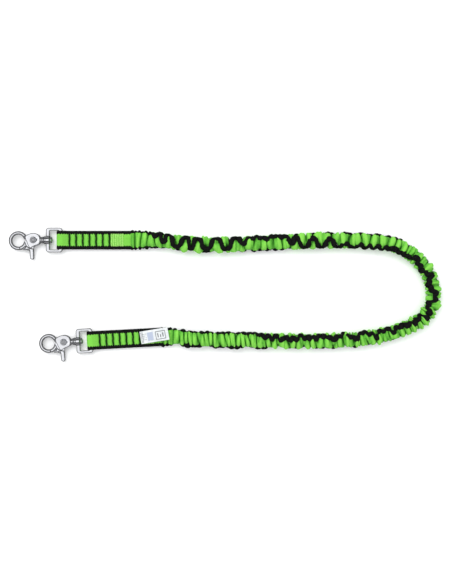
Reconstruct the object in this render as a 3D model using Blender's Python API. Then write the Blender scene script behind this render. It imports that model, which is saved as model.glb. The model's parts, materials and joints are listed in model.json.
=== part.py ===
"""Shock absorbing tool lanyard: an elastic webbing sleeve with a swivel trigger hook at each end.

The lanyard lies flat on a floor at z = 0, bent into a long U. All sizes are in metres. Each end
assembly is modelled once, in its own frame: the webbing meets the sleeve at the origin, and the
tape, the swivel eye and the hook follow one another along -X.
"""

import math

import bmesh
import bpy
import numpy as np
from mathutils import Matrix, Vector

# ---- driving dimensions ----------------------------------------------------------------------
PART_GAP = 0.0003  # clearance between pieces that touch

# the two ends: where the tape meets the sleeve, and the heading of the tape there
UPPER_JUNCTION = (0.0447, 0.0589)
LOWER_JUNCTION = (0.0773, -0.0457)
UPPER_HEADING = 0.0
LOWER_HEADING = math.radians(3.0)

# sewn webbing tape
TAPE_LENGTH = 0.076  # bar centre to the sleeve
TAPE_WIDTH = 0.020
TAPE_THICKNESS = 0.0040  # two layers sewn together
TAPE_FLOOR_GAP = 0.0009  # height of the sewn tape's underside
LOOP_GAP = 0.0007  # between the eye's bar and the webbing round it
LOOP_WALL = 0.0019

# stitching
BAR_TACK_COUNT = 7
BAR_TACK_FIRST = 0.0095  # bar centre to the first tack
BAR_TACK_PITCH = 0.0072
STITCH_MARGIN = 0.0035  # plain webbing on each side of the stitching
BAR_TACK_SIZE = (0.0017, TAPE_WIDTH - 2.0 * STITCH_MARGIN, 0.0004)
ROW_COUNT = 7
ROW_SETBACK = 0.0090  # sleeve to the nearest row
ROW_PITCH = 0.0020
ROW_SIZE = (0.0008, TAPE_WIDTH - 2.0 * STITCH_MARGIN, 0.0004)

# elastic cord and the flat tail that is sewn into the tape
TAIL_LENGTH = 0.0215
TAIL_WIDTH = TAPE_WIDTH - 2.0 * STITCH_MARGIN - 0.0010
TAIL_THICKNESS = 0.0013
CORE_R = 0.0025
SLEEVE_R = 0.0080
SLEEVE_END_R = 0.0044
SLEEVE_WALL = 0.0015
SLEEVE_TAPER = 0.025
ROUTE_STEP = 0.0165

# swivel eye, measured from the webbing bar
EYE_REACH = 0.0292  # bar centre to the trigger pivot
EYE_THICKNESS = 0.0036
EYE_SIDE_GAP = 0.0004  # between the webbing and each arm
EYE_INNER_WIDTH = TAPE_WIDTH + 2.0 * EYE_SIDE_GAP
EYE_ARM = 0.0028
EYE_BAR = 0.0036
LOOP_INNER_R = max(EYE_BAR, EYE_THICKNESS) / 2.0 + LOOP_GAP
AXIS_HEIGHT = LOOP_INNER_R + LOOP_WALL  # height of the hook's long axis above the floor
EYE_CROSS_BAR = 0.0039
EYE_CORNER_R = 0.0024
EYE_INNER_CORNER_R = 0.0008
EYE_CHAMFER = 0.0007
BARREL_LENGTH = 0.0062

# swivel pin
PIN_R = 0.0018
BARREL_R = PIN_R + PART_GAP + 0.0021  # the bore and the barrel's wall
PIN_HEAD_R = PIN_R + 0.0015
PIN_HEAD_LENGTH = 0.0027
PIN_ROOT = 0.0069  # pivot to the blind end of the pin

# hook, measured from the trigger pivot
RING_OFFSET = (-0.0166, -0.00065)
RING_INNER_R = 0.0065
RING_OUTER_R = 0.0102
RING_THICKNESS = 0.0046
RING_CHAMFER = 0.0008
RING_START = 15.0  # degrees round the ring where the fixed hook leaves the cheeks
GATE_SPLIT = 283.0  # degrees round the ring where hook and gate meet
GATE_TOP = 350.0
RING_STEP = 10.0
CHEEK_SPAN = 0.0070
SLOT_WIDTH = 0.0030
SLOT_TOP = 0.0045
SLOT_RIGHT = 0.0053
NECK_R = PIN_R + PART_GAP + 0.0011
NECK_END = 0.0108

# trigger, its pivot and its spring
WEB_THICKNESS = 0.0024
LEVER_LENGTH = 0.0210
LEVER_WIDTH = 0.0037
LEVER_THICKNESS = 0.0044
THICK_FROM_R = 0.0095  # the thick part of the trigger starts this far from the pivot
PIVOT_R = 0.0015
RIVET_HEAD_R = PIVOT_R + 0.0013
RIVET_HEAD_HEIGHT = 0.0005
SPRING_WIRE_R = 0.0002
SPRING_R = PIVOT_R + PART_GAP + 0.0006
SPRING_TURNS = 2.25
SPRING_PITCH = 0.0005
RECESS_R = SPRING_R + SPRING_WIRE_R + 0.0004
RECESS_DEPTH = 0.0018

# care label, centred at this distance beyond the lower junction
LABEL_SIZE = (0.0320, 0.0135, 0.0006)
LABEL_CENTRE = (-0.0066, 0.0020)
LABEL_TURN = math.radians(7.0)
LABEL_TILT = math.radians(14.0)
LABEL_SEAM_INSET = 0.0013
LABEL_SEAM_PITCH = 0.0014
LABEL_SEAM_WIDTH = 0.0006

# route of the sleeve between the two junctions: the points a smooth curve passes through
ROUTE = [
    (0.0652, 0.0589), (0.0846, 0.0576), (0.1041, 0.0552), (0.1246, 0.0539), (0.1462, 0.0539),
    (0.1678, 0.0546), (0.1894, 0.0557), (0.2110, 0.0568), (0.2326, 0.0577), (0.2542, 0.0585),
    (0.2758, 0.0585), (0.2941, 0.0579), (0.3114, 0.0567), (0.3265, 0.0541), (0.3395, 0.0488),
    (0.3503, 0.0414), (0.3589, 0.0321), (0.3656, 0.0217), (0.3697, 0.0103), (0.3711, -0.0010),
    (0.3693, -0.0118), (0.3638, -0.0212), (0.3552, -0.0286), (0.3438, -0.0345), (0.3309, -0.0396),
    (0.3179, -0.0435), (0.3006, -0.0466), (0.2812, -0.0486), (0.2596, -0.0499), (0.2380, -0.0502),
    (0.2142, -0.0497), (0.1883, -0.0495), (0.1624, -0.0491), (0.1365, -0.0488), (0.1138, -0.0480),
    (0.0950, -0.0459),
]

# ---- colours: base colour, roughness, metallic -----------------------------------------------
FINISHES = {
    "chrome": ((0.80, 0.81, 0.83), 0.14, 1.0),
    "steel": ((0.62, 0.63, 0.65), 0.30, 1.0),
    "lime_webbing": ((0.18, 0.75, 0.08), 0.85, 0.0),
    "black_thread": ((0.015, 0.016, 0.015), 0.80, 0.0),
    "lime_thread": ((0.30, 0.85, 0.15), 0.75, 0.0),
    "elastic": ((0.08, 0.08, 0.09), 0.80, 0.0),
    "label": ((0.86, 0.88, 0.88), 0.60, 0.0),
}


def clear_scene():
    for thing in list(bpy.data.objects):
        bpy.data.objects.remove(thing, do_unlink=True)


def finish(name):
    """The Principled material of one finish, made once."""
    material = bpy.data.materials.get(name)
    if material:
        return material
    colour, roughness, metallic = FINISHES[name]
    material = bpy.data.materials.new(name)
    material.use_nodes = True
    shader = material.node_tree.nodes["Principled BSDF"]
    shader.inputs["Base Color"].default_value = (*colour, 1.0)
    shader.inputs["Roughness"].default_value = roughness
    shader.inputs["Metallic"].default_value = metallic
    return material


# ---- mesh helpers ----------------------------------------------------------------------------
def to_mesh(bm, name="shape"):
    bmesh.ops.recalc_face_normals(bm, faces=bm.faces)
    mesh = bpy.data.meshes.new(name)
    bm.to_mesh(mesh)
    bm.free()
    return mesh


def prism(outline, low, high):
    """A closed outline of (x, y) points, standing from z = low to z = high."""
    bm = bmesh.new()
    face = bm.faces.new([bm.verts.new((x, y, low)) for x, y in outline])
    top = bmesh.ops.extrude_face_region(bm, geom=[face])
    lifted = [v for v in top["geom"] if isinstance(v, bmesh.types.BMVert)]
    bmesh.ops.translate(bm, verts=lifted, vec=(0.0, 0.0, high - low))
    return to_mesh(bm)


def block(low, high):
    """A box between two corners."""
    outline = [(low[0], low[1]), (high[0], low[1]), (high[0], high[1]), (low[0], high[1])]
    return prism(outline, low[2], high[2])


def turned(profile, sides, axis="Z"):
    """A solid of revolution: (height, radius) points from one end of the axis to the other."""
    bm = bmesh.new()
    rings = []
    for height, radius in profile:
        ring = []
        for k in range(sides):
            angle = 2.0 * math.pi * (k + 0.5) / sides
            ring.append(bm.verts.new((radius * math.cos(angle), radius * math.sin(angle), height)))
        rings.append(ring)
    for lower, upper in zip(rings, rings[1:]):
        for k in range(sides):
            following = (k + 1) % sides
            bm.faces.new((lower[k], lower[following], upper[following], upper[k]))
    bm.faces.new(list(reversed(rings[0])))
    bm.faces.new(rings[-1])
    if axis == "X":
        bmesh.ops.rotate(bm, verts=bm.verts, matrix=Matrix.Rotation(math.radians(90.0), 3, "Y"))
    return to_mesh(bm)


def arc(centre, radius, start, end, steps):
    """Points on an arc, angles in degrees."""
    points = []
    for k in range(steps + 1):
        angle = math.radians(start + (end - start) * k / steps)
        points.append((centre[0] + radius * math.cos(angle), centre[1] + radius * math.sin(angle)))
    return points


def rounded(corners, steps=4):
    """An outline whose corners (x, y, radius) are replaced by arcs that touch both sides."""
    outline = []
    for k, (x, y, radius) in enumerate(corners):
        here = Vector((x, y))
        before = Vector(corners[k - 1][:2]) - here
        after = Vector(corners[(k + 1) % len(corners)][:2]) - here
        half = before.angle(after) / 2.0
        reach = radius / math.tan(half)
        middle = here + (before.normalized() + after.normalized()).normalized() * radius / math.sin(half)
        first = here + before.normalized() * reach - middle
        last = here + after.normalized() * reach - middle
        sweep = first.angle_signed(last)
        for step in range(steps + 1):
            spoke = first.copy()
            spoke.rotate(Matrix.Rotation(-sweep * step / steps, 2))
            outline.append(tuple(middle + spoke))
    return outline


def combined(base, others, operation):
    """The exact Boolean of a mesh with several others, as a new mesh."""
    target = bpy.data.objects.new("target", base)
    bpy.context.scene.collection.objects.link(target)
    tools = []
    for other in others:
        tool = bpy.data.objects.new("tool", other)
        bpy.context.scene.collection.objects.link(tool)
        tools.append(tool)
        modifier = target.modifiers.new("cut", "BOOLEAN")
        modifier.operation = operation
        modifier.solver = "EXACT"
        modifier.object = tool
    graph = bpy.context.evaluated_depsgraph_get()
    result = bpy.data.meshes.new_from_object(target.evaluated_get(graph))
    for thing in [target, *tools]:
        bpy.data.objects.remove(thing, do_unlink=True)
    bm = bmesh.new()
    bm.from_mesh(result)
    bmesh.ops.remove_doubles(bm, verts=bm.verts, dist=1e-6)
    bmesh.ops.dissolve_degenerate(bm, edges=bm.edges, dist=1e-6)
    bmesh.ops.triangulate(bm, faces=bm.faces)
    return to_mesh(bm)


def ring_band(start, end, half):
    """A chamfered band of the hook's ring between two angles, in degrees."""
    edge = RING_CHAMFER
    section = [
        (RING_INNER_R, -half + edge), (RING_INNER_R + edge, -half),
        (RING_OUTER_R - edge, -half), (RING_OUTER_R, -half + edge),
        (RING_OUTER_R, half - edge), (RING_OUTER_R - edge, half),
        (RING_INNER_R + edge, half), (RING_INNER_R, half - edge),
    ]
    first = RING_STEP * (math.floor(start / RING_STEP - 0.5) + 1.5)
    angles = [start, *np.arange(first, end - 1.0, RING_STEP), end]
    bm = bmesh.new()
    rings = []
    for angle in angles:
        turn = math.radians(float(angle))
        rings.append([
            bm.verts.new((
                RING_OFFSET[0] + radius * math.cos(turn),
                RING_OFFSET[1] + radius * math.sin(turn),
                height,
            ))
            for radius, height in section
        ])
    for near, far in zip(rings, rings[1:]):
        for k in range(len(section)):
            following = (k + 1) % len(section)
            bm.faces.new((near[k], near[following], far[following], far[k]))
    bm.faces.new(list(reversed(rings[0])))
    bm.faces.new(rings[-1])
    return to_mesh(bm)


# ---- hook ------------------------------------------------------------------------------------
def gate_gap_angle():
    """Half the gap between hook tip and gate, in degrees round the ring."""
    return math.degrees(PART_GAP / RING_INNER_R) / 2.0


def hook_body():
    """Cast ring, two cheeks with the trigger's slot between them, and the bored neck."""
    ring = ring_band(RING_START, GATE_SPLIT - gate_gap_angle(), RING_THICKNESS / 2.0)
    cheeks = prism(
        rounded([
            (0.0069, 0.0034, 0.0006), (0.0048, 0.0072, 0.0026), (-0.0020, 0.0076, 0.0030),
            (-0.0086, 0.0050, 0.0006), (-0.0086, 0.0010, 0.0010), (-0.0064, -0.0034, 0.0040),
            (-0.0031, -0.0091, 0.0009), (0.0010, -0.0069, 0.0020), (0.0069, -0.0048, 0.0010),
        ]),
        -CHEEK_SPAN / 2.0, CHEEK_SPAN / 2.0,
    )
    neck = turned([(0.0048, NECK_R), (NECK_END, NECK_R)], 20, "X")
    body = combined(cheeks, [ring, neck], "UNION")
    slot = prism(
        [
            (SLOT_RIGHT, SLOT_TOP), (-0.0025, SLOT_TOP), (-0.0125, -0.0008), (-0.0125, -0.0120),
            (0.0095, -0.0120), (SLOT_RIGHT, -0.0022),
        ],
        -SLOT_WIDTH / 2.0, SLOT_WIDTH / 2.0,
    )
    pivot_hole = turned([(-0.006, PIVOT_R + PART_GAP), (0.006, PIVOT_R + PART_GAP)], 20)
    bore = turned([(PIN_ROOT - PART_GAP, PIN_R + PART_GAP), (NECK_END + 0.002, PIN_R + PART_GAP)], 20, "X")
    return combined(body, [slot, pivot_hole, bore], "DIFFERENCE")


def swivel_pin():
    """Pin pressed into the neck, with a domed head behind the barrel."""
    head = EYE_REACH - eye_opening_start() + PART_GAP
    profile = [
        (PIN_ROOT, PIN_R), (head, PIN_R), (head, PIN_HEAD_R),
        (head + 0.55 * PIN_HEAD_LENGTH, PIN_HEAD_R), (head + 0.85 * PIN_HEAD_LENGTH, 0.8 * PIN_HEAD_R),
        (head + PIN_HEAD_LENGTH, 0.45 * PIN_HEAD_R),
    ]
    return turned(profile, 20, "X")


def pivot_rivet():
    """Rivet through both cheeks, headed on both faces."""
    inner = CHEEK_SPAN / 2.0 + PART_GAP
    outer = inner + RIVET_HEAD_HEIGHT
    half = [(inner, PIVOT_R), (inner, RIVET_HEAD_R), (inner + 0.0002, RIVET_HEAD_R), (outer, 0.6 * RIVET_HEAD_R)]
    profile = [(-height, radius) for height, radius in reversed(half)] + half
    return turned(profile, 20)


def trigger():
    """Gate arc, thin web with the hub between the cheeks, and the thumb lever."""
    first = GATE_SPLIT + gate_gap_angle()
    left = -LEVER_WIDTH + 0.0002
    inner = arc(RING_OFFSET, RING_INNER_R, first, GATE_TOP, 8)
    bite = arc((0.0, 0.0), THICK_FROM_R, 190.0, 271.0, 9)
    tip_angle = math.radians(first)
    tip = (
        RING_OFFSET[0] + (RING_OUTER_R + 0.0003) * math.cos(tip_angle),
        RING_OFFSET[1] + (RING_OUTER_R + 0.0003) * math.sin(tip_angle),
    )
    thick = prism(
        inner + bite + [
            (left + LEVER_WIDTH, -LEVER_LENGTH + 0.0012), (left + LEVER_WIDTH - 0.0012, -LEVER_LENGTH),
            (left + 0.0012, -LEVER_LENGTH), (left, -LEVER_LENGTH + 0.0012), (left, -0.0115),
            (-0.0045, -0.0101), (-0.0063, -0.0100), (-0.0098, -0.0110), (-0.0122, -0.0112), tip,
        ],
        -LEVER_THICKNESS / 2.0, LEVER_THICKNESS / 2.0,
    )
    hub = SLOT_TOP - PART_GAP
    web = prism(
        rounded([
            (hub, hub, hub - 0.00005), (-0.0030, hub, 0.0030), (-0.0098, -0.0013, 0.0008),
            (-0.0114, -0.0058, 0.0010), (-0.0092, -0.0092, 0.0010), (-0.0030, -0.0125, 0.0006),
            (-0.0004, -0.0125, 0.0006), (0.0002, -0.0060, 0.0012), (hub, -hub, hub - 0.0012),
        ], steps=5),
        -WEB_THICKNESS / 2.0, WEB_THICKNESS / 2.0,
    )
    solid = combined(thick, [web], "UNION")
    top = WEB_THICKNESS / 2.0
    pivot_hole = turned([(-0.004, PIVOT_R + PART_GAP), (0.004, PIVOT_R + PART_GAP)], 20)
    recess = turned([(top - RECESS_DEPTH, RECESS_R), (0.004, RECESS_R)], 20)
    notch = prism(
        arc((0.0, 0.0), SPRING_R + SPRING_WIRE_R, -12.0, 90.0, 6) + arc((0.0, 0.0), 0.0075, 90.0, -12.0, 6),
        top - RECESS_DEPTH + 0.0001, 0.004,
    )
    return combined(solid, [pivot_hole, recess, notch], "DIFFERENCE")


def torsion_spring():
    """Coil round the pivot in the hub's recess, with one leg that bears on the slot's top wall."""
    steps_per_turn = 14
    low = WEB_THICKNESS / 2.0 - RECESS_DEPTH + PART_GAP + SPRING_WIRE_R
    count = int(SPRING_TURNS * steps_per_turn)
    path = []
    for k in range(count + 1):
        angle = 2.0 * math.pi * (k - count) / steps_per_turn
        height = low + SPRING_PITCH * k / steps_per_turn
        path.append((SPRING_R * math.cos(angle), SPRING_R * math.sin(angle), height))
    end = path[-1]
    path.append((end[0], SLOT_TOP - PART_GAP - SPRING_WIRE_R, end[2]))
    return tube(path, SPRING_WIRE_R, 6)


def tube(path, radius, sides):
    """A round wire of one radius along a path of points."""
    bm = bmesh.new()
    points = [Vector(p) for p in path]
    rings = []
    for k, point in enumerate(points):
        ahead = points[min(k + 1, len(points) - 1)] - points[max(k - 1, 0)]
        side = ahead.cross(Vector((0.0, 0.0, 1.0))).normalized()
        up = side.cross(ahead).normalized()
        ring = []
        for j in range(sides):
            angle = 2.0 * math.pi * j / sides
            ring.append(bm.verts.new(point + radius * (math.cos(angle) * side + math.sin(angle) * up)))
        rings.append(ring)
    for near, far in zip(rings, rings[1:]):
        for j in range(sides):
            following = (j + 1) % sides
            bm.faces.new((near[j], near[following], far[following], far[j]))
    bm.faces.new(list(reversed(rings[0])))
    bm.faces.new(rings[-1])
    return to_mesh(bm)


# ---- swivel eye ------------------------------------------------------------------------------
def eye_opening_start():
    """Distance from the bar's centre to the far side of the eye's opening."""
    return EYE_REACH - NECK_END - PART_GAP - BARREL_LENGTH


def eye_loop(outer, inset, height):
    """One closed loop of the eye's frame: its outer or inner edge, moved into the metal by inset."""
    far = -eye_opening_start()
    near = EYE_BAR / 2.0
    half = EYE_INNER_WIDTH / 2.0
    if outer:
        left = far - EYE_CROSS_BAR + inset
        right = near - inset
        wide = half + EYE_ARM - inset
        radii = (EYE_CORNER_R - inset, 1.25 * EYE_CORNER_R - inset)
    else:
        left = far - inset
        right = -near + inset
        wide = half + inset
        radii = (EYE_INNER_CORNER_R + inset, 1.7 * EYE_INNER_CORNER_R + inset)
    corners = [
        (right, wide, radii[0]), (left, wide, radii[1]), (left, -wide, radii[1]), (right, -wide, radii[0]),
    ]
    return [(x, y, height) for x, y in rounded(corners, steps=3)]


def swivel_eye():
    """Rectangular eye with a barrel on its cross bar; its origin is the webbing bar's centre."""
    top = EYE_THICKNESS / 2.0
    edge = EYE_CHAMFER
    loops = [
        eye_loop(True, 0.0, -top + edge), eye_loop(True, 0.0, top - edge), eye_loop(True, edge, top),
        eye_loop(False, edge, top), eye_loop(False, 0.0, top - edge), eye_loop(False, 0.0, -top + edge),
        eye_loop(False, edge, -top), eye_loop(True, edge, -top),
    ]
    bm = bmesh.new()
    rings = [[bm.verts.new(point) for point in loop] for loop in loops]
    for near, far in zip(rings, rings[1:] + rings[:1]):
        for k in range(len(near)):
            following = (k + 1) % len(near)
            bm.faces.new((near[k], near[following], far[following], far[k]))
    frame = to_mesh(bm)
    start = -eye_opening_start()
    barrel = turned([(start - BARREL_LENGTH, BARREL_R), (start - 0.00005, BARREL_R)], 24, "X")
    solid = combined(frame, [barrel], "UNION")
    hole = PIN_R + PART_GAP
    bore = turned([(start - BARREL_LENGTH - 0.002, hole), (start + 0.002, hole)], 20, "X")
    return combined(solid, [bore], "DIFFERENCE")


# ---- webbing end -----------------------------------------------------------------------------
def loop_outer_r():
    return AXIS_HEIGHT


def end_tape():
    """Webbing folded round the bar and sewn flat, with a pocket for the elastic's tail."""
    bar = (-TAPE_LENGTH, AXIS_HEIGHT)
    low = TAPE_FLOOR_GAP
    high = low + TAPE_THICKNESS
    start = tack_places()[0] - BAR_TACK_SIZE[0] / 2.0 - 2.0 * PART_GAP
    side = [(0.0, high), (start, high)]
    side += arc(bar, loop_outer_r(), 70.0, 290.0, 16)
    side += [(start, low), (0.0, low)]
    outer = side_prism(side, TAPE_WIDTH / 2.0)
    hole = arc(bar, LOOP_INNER_R, 60.0, 290.0, 12) + [(start - 0.002, (low + high) / 2.0)]
    inner = side_prism(hole, TAPE_WIDTH)
    pocket = block(
        (-TAIL_LENGTH - PART_GAP, -TAIL_WIDTH / 2.0 - PART_GAP, tail_height() - TAIL_THICKNESS / 2.0 - PART_GAP),
        (0.002, TAIL_WIDTH / 2.0 + PART_GAP, tail_height() + TAIL_THICKNESS / 2.0 + PART_GAP),
    )
    return combined(outer, [inner, pocket, *tack_leg_holes()], "DIFFERENCE")


def side_prism(outline, half_width):
    """An outline of (x, z) points, extruded to both sides along Y."""
    bm = bmesh.new()
    face = bm.faces.new([bm.verts.new((x, -half_width, z)) for x, z in outline])
    far = bmesh.ops.extrude_face_region(bm, geom=[face])
    moved = [v for v in far["geom"] if isinstance(v, bmesh.types.BMVert)]
    bmesh.ops.translate(bm, verts=moved, vec=(0.0, 2.0 * half_width, 0.0))
    return to_mesh(bm)


def tail_height():
    return TAPE_FLOOR_GAP + TAPE_THICKNESS / 2.0


def elastic_tail():
    """Flat end of the elastic, held in the tape's pocket."""
    return block(
        (-TAIL_LENGTH, -TAIL_WIDTH / 2.0, tail_height() - TAIL_THICKNESS / 2.0),
        (0.0, TAIL_WIDTH / 2.0, tail_height() + TAIL_THICKNESS / 2.0),
    )


def tack_places():
    """Distance of each bar tack from the sleeve, as places along -X."""
    return [-TAPE_LENGTH + BAR_TACK_FIRST + BAR_TACK_PITCH * k for k in range(BAR_TACK_COUNT)]


def tack_leg_holes():
    """Needle holes through the tape, one for each leg of each bar tack."""
    width, length, thread = BAR_TACK_SIZE
    holes = []
    for place in tack_places():
        for side in (-1.0, 1.0):
            middle = side * (length - thread) / 2.0
            holes.append(block(
                (place - width / 2.0 - PART_GAP, middle - thread / 2.0 - PART_GAP, -0.001),
                (place + width / 2.0 + PART_GAP, middle + thread / 2.0 + PART_GAP, 0.01),
            ))
    return holes


def bar_tack():
    """Thread wound through the tape: a bar on each face, joined by a leg at each end."""
    width, length, thread = BAR_TACK_SIZE
    high = TAPE_FLOOR_GAP + TAPE_THICKNESS + PART_GAP
    low = TAPE_FLOOR_GAP - PART_GAP
    whole = block((-width / 2.0, -length / 2.0, low - thread), (width / 2.0, length / 2.0, high + thread))
    inside = block((-width, -length / 2.0 + thread, low), (width, length / 2.0 - thread, high))
    return combined(whole, [inside], "DIFFERENCE")


def thick_line(points, width):
    """Outline of a line of one width with square corners, through points on the floor plan."""
    left = []
    right = []
    for k, point in enumerate(points):
        here = Vector(point)
        before = (here - Vector(points[k - 1])).normalized() if k else None
        after = (Vector(points[k + 1]) - here).normalized() if k + 1 < len(points) else None
        first = before or after
        last = after or before
        sideways = Vector((-first.y, first.x)) + (Vector((-last.y, last.x)) if before and after else Vector((0, 0)))
        left.append(tuple(here + sideways * width / 2.0))
        right.append(tuple(here - sideways * width / 2.0))
    return left + right[::-1]


def stitch_rows(places, length, width):
    """One thread that runs to and fro across the tape, a row at each place."""
    path = []
    for k, place in enumerate(places):
        turn = 1.0 if k % 2 else -1.0
        path += [(place, turn * length / 2.0), (place, -turn * length / 2.0)]
    return thick_line(path, width)


def elastic_seam():
    """Rows of stitching that hold the elastic's tail in the tape."""
    width, length, thread = ROW_SIZE
    places = [-ROW_SETBACK - ROW_PITCH * k for k in range(ROW_COUNT)]
    base = TAPE_FLOOR_GAP + TAPE_THICKNESS + PART_GAP
    return prism(stitch_rows(places, length, width), base, base + thread)


# ---- sleeve and core -------------------------------------------------------------------------
def junction(place, heading, beyond):
    """A point this far beyond a junction, along the tape's heading."""
    return (place[0] + beyond * math.cos(heading), place[1] + beyond * math.sin(heading))


def smooth_route():
    """Points one step apart on a centripetal Catmull-Rom curve through the route, with its ends."""
    start = junction(UPPER_JUNCTION, UPPER_HEADING, PART_GAP)
    end = junction(LOWER_JUNCTION, LOWER_HEADING, PART_GAP)
    before = junction(UPPER_JUNCTION, UPPER_HEADING, -0.02)
    after = junction(LOWER_JUNCTION, LOWER_HEADING, -0.02)
    knots = np.array([before, start, *ROUTE, end, after])
    dense = []
    for p0, p1, p2, p3 in zip(knots, knots[1:], knots[2:], knots[3:]):
        t0 = 0.0
        t1 = t0 + math.sqrt(np.linalg.norm(p1 - p0))
        t2 = t1 + math.sqrt(np.linalg.norm(p2 - p1))
        t3 = t2 + math.sqrt(np.linalg.norm(p3 - p2))
        t = np.linspace(t1, t2, 24, endpoint=False)[:, None]
        a1 = (t1 - t) / (t1 - t0) * p0 + (t - t0) / (t1 - t0) * p1
        a2 = (t2 - t) / (t2 - t1) * p1 + (t - t1) / (t2 - t1) * p2
        a3 = (t3 - t) / (t3 - t2) * p2 + (t - t2) / (t3 - t2) * p3
        b1 = (t2 - t) / (t2 - t0) * a1 + (t - t0) / (t2 - t0) * a2
        b2 = (t3 - t) / (t3 - t1) * a2 + (t - t1) / (t3 - t1) * a3
        dense.append((t2 - t) / (t2 - t1) * b1 + (t - t1) / (t2 - t1) * b2)
    dense = np.vstack([*dense, knots[-2:-1]])
    along = np.concatenate([[0.0], np.cumsum(np.linalg.norm(np.diff(dense, axis=0), axis=1))])
    count = int(round(along[-1] / ROUTE_STEP))
    places = np.linspace(0.0, along[-1], count + 1)
    # two more points in each taper, where the radius changes
    extra = np.array([SLEEVE_TAPER / 3.0, along[-1] - SLEEVE_TAPER / 3.0])
    places = np.sort(np.concatenate([places, extra]))
    flat = np.stack([np.interp(places, along, dense[:, k]) for k in range(2)], axis=1)
    return flat, places


def sleeve_radii(places):
    """The sleeve's outer radius along its length: narrow at both tapes, full between."""
    from_end = np.minimum(places, places[-1] - places)
    blend = np.clip(from_end / SLEEVE_TAPER, 0.0, 1.0)
    return SLEEVE_END_R + (SLEEVE_R - SLEEVE_END_R) * blend * blend * (3.0 - 2.0 * blend)


def cord_curve(name, flat, heights, radii, depth, resolution, capped):
    """A bevelled poly curve through points on the floor plan, lifted to the given heights."""
    data = bpy.data.curves.new(name, "CURVE")
    data.dimensions = "3D"
    data.twist_mode = "Z_UP"
    data.bevel_depth = depth
    data.bevel_resolution = resolution
    data.use_fill_caps = capped
    spline = data.splines.new("POLY")
    spline.points.add(len(flat) - 1)
    for point, (x, y), z, radius in zip(spline.points, flat, heights, radii):
        point.co = (x, y, z, 1.0)
        point.radius = radius / depth
    return data


def make_sleeve_and_core():
    flat, places = smooth_route()
    radii = sleeve_radii(places)
    sleeve = place_piece(
        "gathered_sleeve", cord_curve("gathered_sleeve", flat, radii, radii, SLEEVE_R, 4, False), "lime_webbing"
    )
    wall = sleeve.modifiers.new("wall", "SOLIDIFY")
    wall.thickness = SLEEVE_WALL
    wall.offset = -1.0
    core_radii = np.full(len(radii), CORE_R)
    place_piece("elastic_core", cord_curve("elastic_core", flat, radii, core_radii, CORE_R, 2, True), "elastic")


# ---- assembly --------------------------------------------------------------------------------
def place_piece(name, data, material, parent=None, location=(0.0, 0.0, 0.0)):
    thing = bpy.data.objects.new(name, data)
    bpy.context.scene.collection.objects.link(thing)
    if parent:
        thing.parent = parent
    thing.location = location
    if isinstance(data, bpy.types.Mesh):
        data.shade_smooth()
        data.set_sharp_from_angle(angle=math.radians(35.0))
    if not data.materials:
        data.materials.append(finish(material))
    return thing


def guide(name, parent=None, location=(0.0, 0.0, 0.0), turn=0.0):
    """An empty that carries the pieces of one moving body."""
    empty = bpy.data.objects.new(name, None)
    bpy.context.scene.collection.objects.link(empty)
    empty.parent = parent
    empty.location = location
    empty.rotation_euler = (0.0, 0.0, turn)
    return empty


def make_end(side, place, heading, meshes):
    """One end: tape at the junction, eye on its bar, hook on the swivel pin, trigger on its pivot."""
    end = guide(f"{side}_end_axis", None, (*place, 0.0), heading)
    eye = guide(f"{side}_eye_axis", end, (-TAPE_LENGTH, 0.0, AXIS_HEIGHT))
    hook = guide(f"{side}_hook_axis", eye, (-EYE_REACH, 0.0, 0.0))
    for piece, material in (
        ("end_tape", "lime_webbing"), ("elastic_seam", "lime_thread"), ("elastic_tail", "elastic"),
    ):
        place_piece(f"{side}_{piece}", meshes[piece], material, end)
    for k, along in enumerate(tack_places()):
        place_piece(f"{side}_bar_tack_{k + 1}", meshes["bar_tack"], "black_thread", end, (along, 0.0, 0.0))
    place_piece(f"{side}_swivel_eye", meshes["swivel_eye"], "chrome", eye)
    for piece, material in (
        ("hook_body", "chrome"), ("swivel_pin", "steel"), ("pivot_rivet", "steel"),
        ("torsion_spring", "steel"), ("trigger", "chrome"),
    ):
        place_piece(f"{side}_{piece}", meshes[piece], material, hook)
    return end


def make_label(end):
    """Care label sewn on at the lower junction, tilted up over the start of the sleeve."""
    length, width, thick = LABEL_SIZE
    base = TAPE_FLOOR_GAP + TAPE_THICKNESS + 2.0 * PART_GAP + BAR_TACK_SIZE[2]
    lift = base + math.sin(LABEL_TILT) * length / 2.0
    tilt = Matrix.Rotation(-LABEL_TILT, 4, "Y")
    turn = Matrix.Rotation(LABEL_TURN, 4, "Z")
    place = Matrix.Translation((*LABEL_CENTRE, lift)) @ turn @ tilt
    plate = block((-length / 2.0, -width / 2.0, 0.0), (length / 2.0, width / 2.0, thick))
    plate.transform(place)
    rows = [-length / 2.0 + LABEL_SEAM_INSET + LABEL_SEAM_PITCH * k for k in range(2)]
    outline = stitch_rows(rows, width - 2.0 * LABEL_SEAM_INSET, LABEL_SEAM_WIDTH)
    seam = prism(outline, thick + PART_GAP, thick + PART_GAP + LABEL_SEAM_WIDTH / 2.0)
    seam.transform(place)
    place_piece("care_label", plate, "label", end)
    place_piece("label_seam", seam, "black_thread", end)


def main():
    clear_scene()
    builders = (
        hook_body, swivel_pin, pivot_rivet, torsion_spring, trigger,
        swivel_eye, end_tape, bar_tack, elastic_seam, elastic_tail,
    )
    meshes = {builder.__name__: builder() for builder in builders}
    make_end("upper", UPPER_JUNCTION, UPPER_HEADING, meshes)
    lower = make_end("lower", LOWER_JUNCTION, LOWER_HEADING, meshes)
    make_label(lower)
    make_sleeve_and_core()


main()
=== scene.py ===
"""Shock absorbing lanyard: gathered webbing sleeve, sewn tapes and chromed swivel trigger hooks.

Laid out as an add-on and run as a script. Every piece is a surface worked out with numpy in the
row frame, in metres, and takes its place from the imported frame.
"""

import json
import math

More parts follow.
